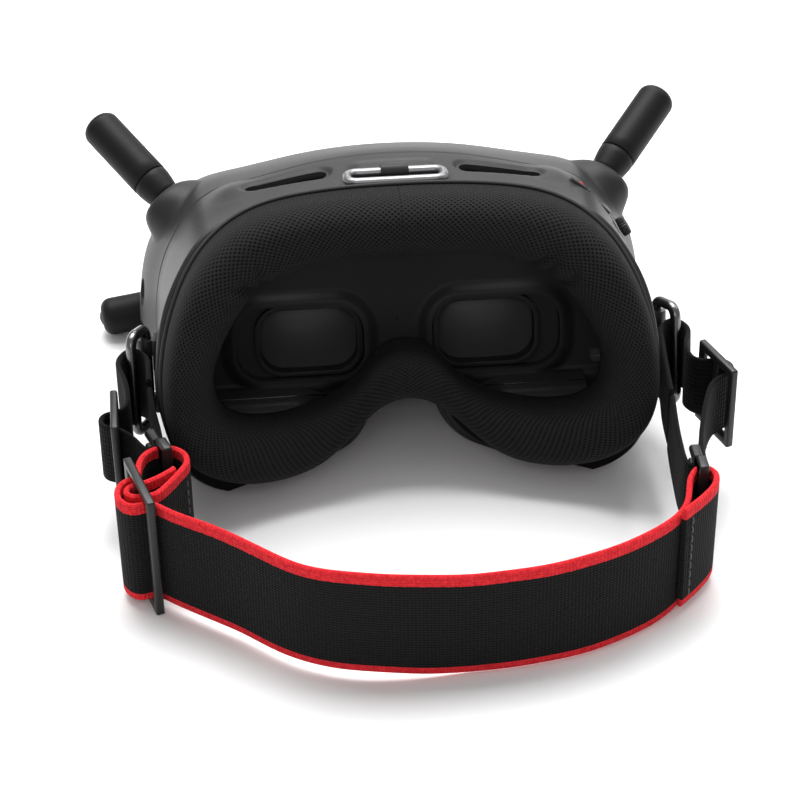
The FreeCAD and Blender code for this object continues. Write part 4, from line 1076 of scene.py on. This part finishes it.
LEFT_WEB_PATH = [
    (-80.9, -70.6, 29.5, 0.1), (-79.8, -77.4, 26.5, 0), (-78.4, -84.0, 23.8, 0),
    (-77.9, -88.4, 23.5, 0), (-78.0, -91.8, 23.5, 0), (-79.8, -93.4, 23.5, 0),
    (-82.6, -92.6, 23.5, 0), (-85.0, -90.2, 24.5, 0), (-88.0, -88.6, 26.6, 0),
    (-91.4, -87.2, 27.5, 0), (-94.8, -85.4, 27.5, 0), (-95.9, -82.7, 27.5, 0),
    (-95.0, -79.9, 27.5, 0), (-91.6, -78.3, 27.5, 0), (-88.4, -76.4, 28.0, 0),
    (-87.6, -72.0, 29.6, 0.05), (-89.2, -65.0, 31.0, 0.25), (-90.4, -58.4, 31.0, 0.325),
    (-86.4, -53.1, 31.0, 0.325), (-82.2, -56.4, 31.0, 0.325), (-81.2, -61.6, 31.0, 0.3),
    (-81.0, -67.6, 30.2, 0.14)]


def strap(name, path, width, thick, step, sag=None, wave=0.0):
    """Flat strap standing on edge, with rounded edges. Path is X, Y, middle height, lean."""
    line = Spline(path, knots=np.concatenate([[0], np.cumsum(np.linalg.norm(
        np.diff(np.asarray(path)[:, :3], axis=0), axis=1))]))
    count = int(line.knots[-1] / step)
    at = np.linspace(0, line.knots[-1], count)
    middle = line(at)
    way = np.gradient(middle[:, :2], axis=0)
    way /= np.linalg.norm(way, axis=1, keepdims=True)
    across = np.stack([-way[:, 1], way[:, 0]], 1)
    half, round_ = width / 2, thick / 2
    section = []
    for side in (-1, 1):
        top = half - round_
        section += [(side * round_, -side * h) for h in np.linspace(-top, top, 46)]
        section += [(side * round_ * math.cos(a), -side * (top + round_ * math.sin(a)))
                    for a in np.linspace(0, math.pi, 7)[1:-1]]
    section = np.array(section)
    drop = np.zeros(count) if sag is None else sag(at / at[-1])
    ripple = wave * (np.sin(at / 9.0) + 0.6 * np.sin(at / 3.7 + 1.0))
    points = np.zeros((count, len(section), 3))
    weave = np.zeros_like(points)
    rise = section[None, :, 1]
    push = section[None, :, 0] + ripple[:, None] * (rise / half)
    points[..., 0] = middle[:, None, 0] + across[:, None, 0] * push
    points[..., 1] = middle[:, None, 1] + across[:, None, 1] * push + middle[:, None, 3] * rise
    points[..., 2] = middle[:, None, 2] + rise - drop[:, None]
    weave[..., 0], weave[..., 1] = at[:, None] * MM, (rise + half) * MM
    piece = grid(name, points * MM, False, True, weave)
    fix_normals(piece, cap=True)
    return piece


STITCH_STEP, STITCH_LENGTH, THREAD_R = 3.3, 2.5, 0.28


def stitches(name, place, side, span):
    """Row of thread dashes across the band, on one of its faces."""
    path = np.array(BAND_PATH)
    nearest = int(np.argmin(np.linalg.norm((path[1:] + path[:-1]) / 2 - place, axis=1)))
    way = path[nearest + 1] - path[nearest]
    way /= np.linalg.norm(way)
    out = np.array([-way[1], way[0]]) * side
    share = np.clip((np.array(place) - path[nearest]).dot(way), 0, None)
    root = path[nearest] + way * share + out * BAND_THICK / 2
    dashes = []
    for low in np.arange(BAND_Z + span[0], BAND_Z + span[1] - 2.4, STITCH_STEP):
        level = np.linspace(0, 1, 7)
        rise = 0.28 - 0.5 * (2 * level - 1) ** 4
        line = np.stack([root[0] + out[0] * rise, root[1] + out[1] * rise, low + STITCH_LENGTH * level], 1)
        dashes.append(tube(name, line * MM, THREAD_R * MM, 8))
    bpy.ops.object.select_all(action="DESELECT")
    for dash in dashes:
        dash.select_set(True)
    bpy.context.view_layer.objects.active = dashes[0]
    bpy.ops.object.join()
    put(dashes[0], "housing", "elastic_band", "thread")


def straps():
    mid = BAND_Z + BAND_WIDTH / 2
    flat = [(x, y, mid, 0.0) for x, y in BAND_PATH]

    def sag(share):
        return 2.3 * smooth((share - 0.52) / 0.12) * smooth((0.94 - share) / 0.1)
    band = strap("elastic_band", flat, BAND_WIDTH, BAND_THICK, 0.7, sag, 0.12)
    put(band, "housing", "elastic_band", "band", "head_band")
    stitches("seam_stitches", (75.6, -143.9), 1, (3.0, 33.0))
    stitches("loop_stitches", (-70.9, -109.9), -1, (5.0, 33.0))
    for word, path in (("right", RIGHT_WEB_PATH), ("left", LEFT_WEB_PATH)):
        web = strap(word + "_web", path, WEB_WIDTH, WEB_THICK, 0.4, None, 0.10)
        put(web, "housing", "webbing", "webbing", word + "_webbing")


# ---------------------------------------------------------------- studio
def studio():
    world = bpy.data.worlds.new("studio")
    bpy.context.scene.world = world
    world.use_nodes = True
    back = world.node_tree.nodes["Background"]
    back.inputs["Color"].default_value = (1.0, 1.0, 1.0, 1.0)
    back.inputs["Strength"].default_value = 0.50
    size = 6.0
    floor = make_mesh("floor", [(-size, -size, 0), (size, -size, 0), (size, size, 0), (-size, size, 0)],
                      [(0, 1, 2, 3)])
    floor.data.materials.append(MATERIALS["floor"])
    lights = [("key", (-0.7, 0.6, 1.2), 0.7, 3.5), ("fill", (0.9, 0.5, 1.0), 0.7, 5.0),
              ("top", (0.0, 0.45, 1.3), 0.9, 26.0), ("back", (0.2, 1.3, 0.7), 0.8, 4.0),
              ("face", (-0.2, -1.2, 0.9), 0.6, 2.0)]
    for name, place, width, power in lights:
        lamp = bpy.data.lights.new(name, "AREA")
        lamp.shape = "SQUARE"
        lamp.size = width
        lamp.energy = power
        holder = bpy.data.objects.new(name, lamp)
        holder.location = place
        toward = Vector((0.0, -0.03, 0.05)) - holder.location
        holder.rotation_euler = toward.to_track_quat("-Z", "Y").to_euler()
        bpy.context.scene.collection.objects.link(holder)


def camera():
    """Long lens, behind and above the wearer's side, turned a little to the left."""
    azimuth, height, roll = math.radians(-3.5), math.radians(17.0), math.radians(2.3)
    depth, focal, sensor = 833.0, 112.05, 36.0
    shift_right, shift_up = 1.33815, -23.75221
    back = np.array([math.sin(azimuth) * math.cos(height), -math.cos(azimuth) * math.cos(height),
                     math.sin(height)])
    right = np.cross(-back, (0, 0, 1.0))
    right /= np.linalg.norm(right)
    up = np.cross(right, -back)
    turned_right = right * math.cos(roll) - up * math.sin(roll)
    turned_up = right * math.sin(roll) + up * math.cos(roll)
    place = np.array([0.0, 35.0, 0.0]) + back * depth + turned_right * shift_right + turned_up * shift_up
    zero = row(np.zeros(3))
    columns = [(row(v) - zero) / MM for v in (turned_right, turned_up, back)]
    lens = bpy.data.cameras.new("camera")
    lens.sensor_width = sensor
    lens.lens = focal
    lens.clip_start = 0.01
    holder = bpy.data.objects.new("camera", lens)
    matrix = Matrix.Identity(4)
    for i, column in enumerate(columns):
        for k in range(3):
            matrix[k][i] = column[k]
    matrix.translation = Vector(row(place))
    holder.matrix_world = matrix
    bpy.context.scene.collection.objects.link(holder)
    bpy.context.scene.camera = holder
    bpy.context.scene.view_settings.view_transform = "Standard"


studio()
camera()
rear_shell()
front_cover()
face_pad()
face_plate()
hard_parts()
antennas()
stick()
straps()
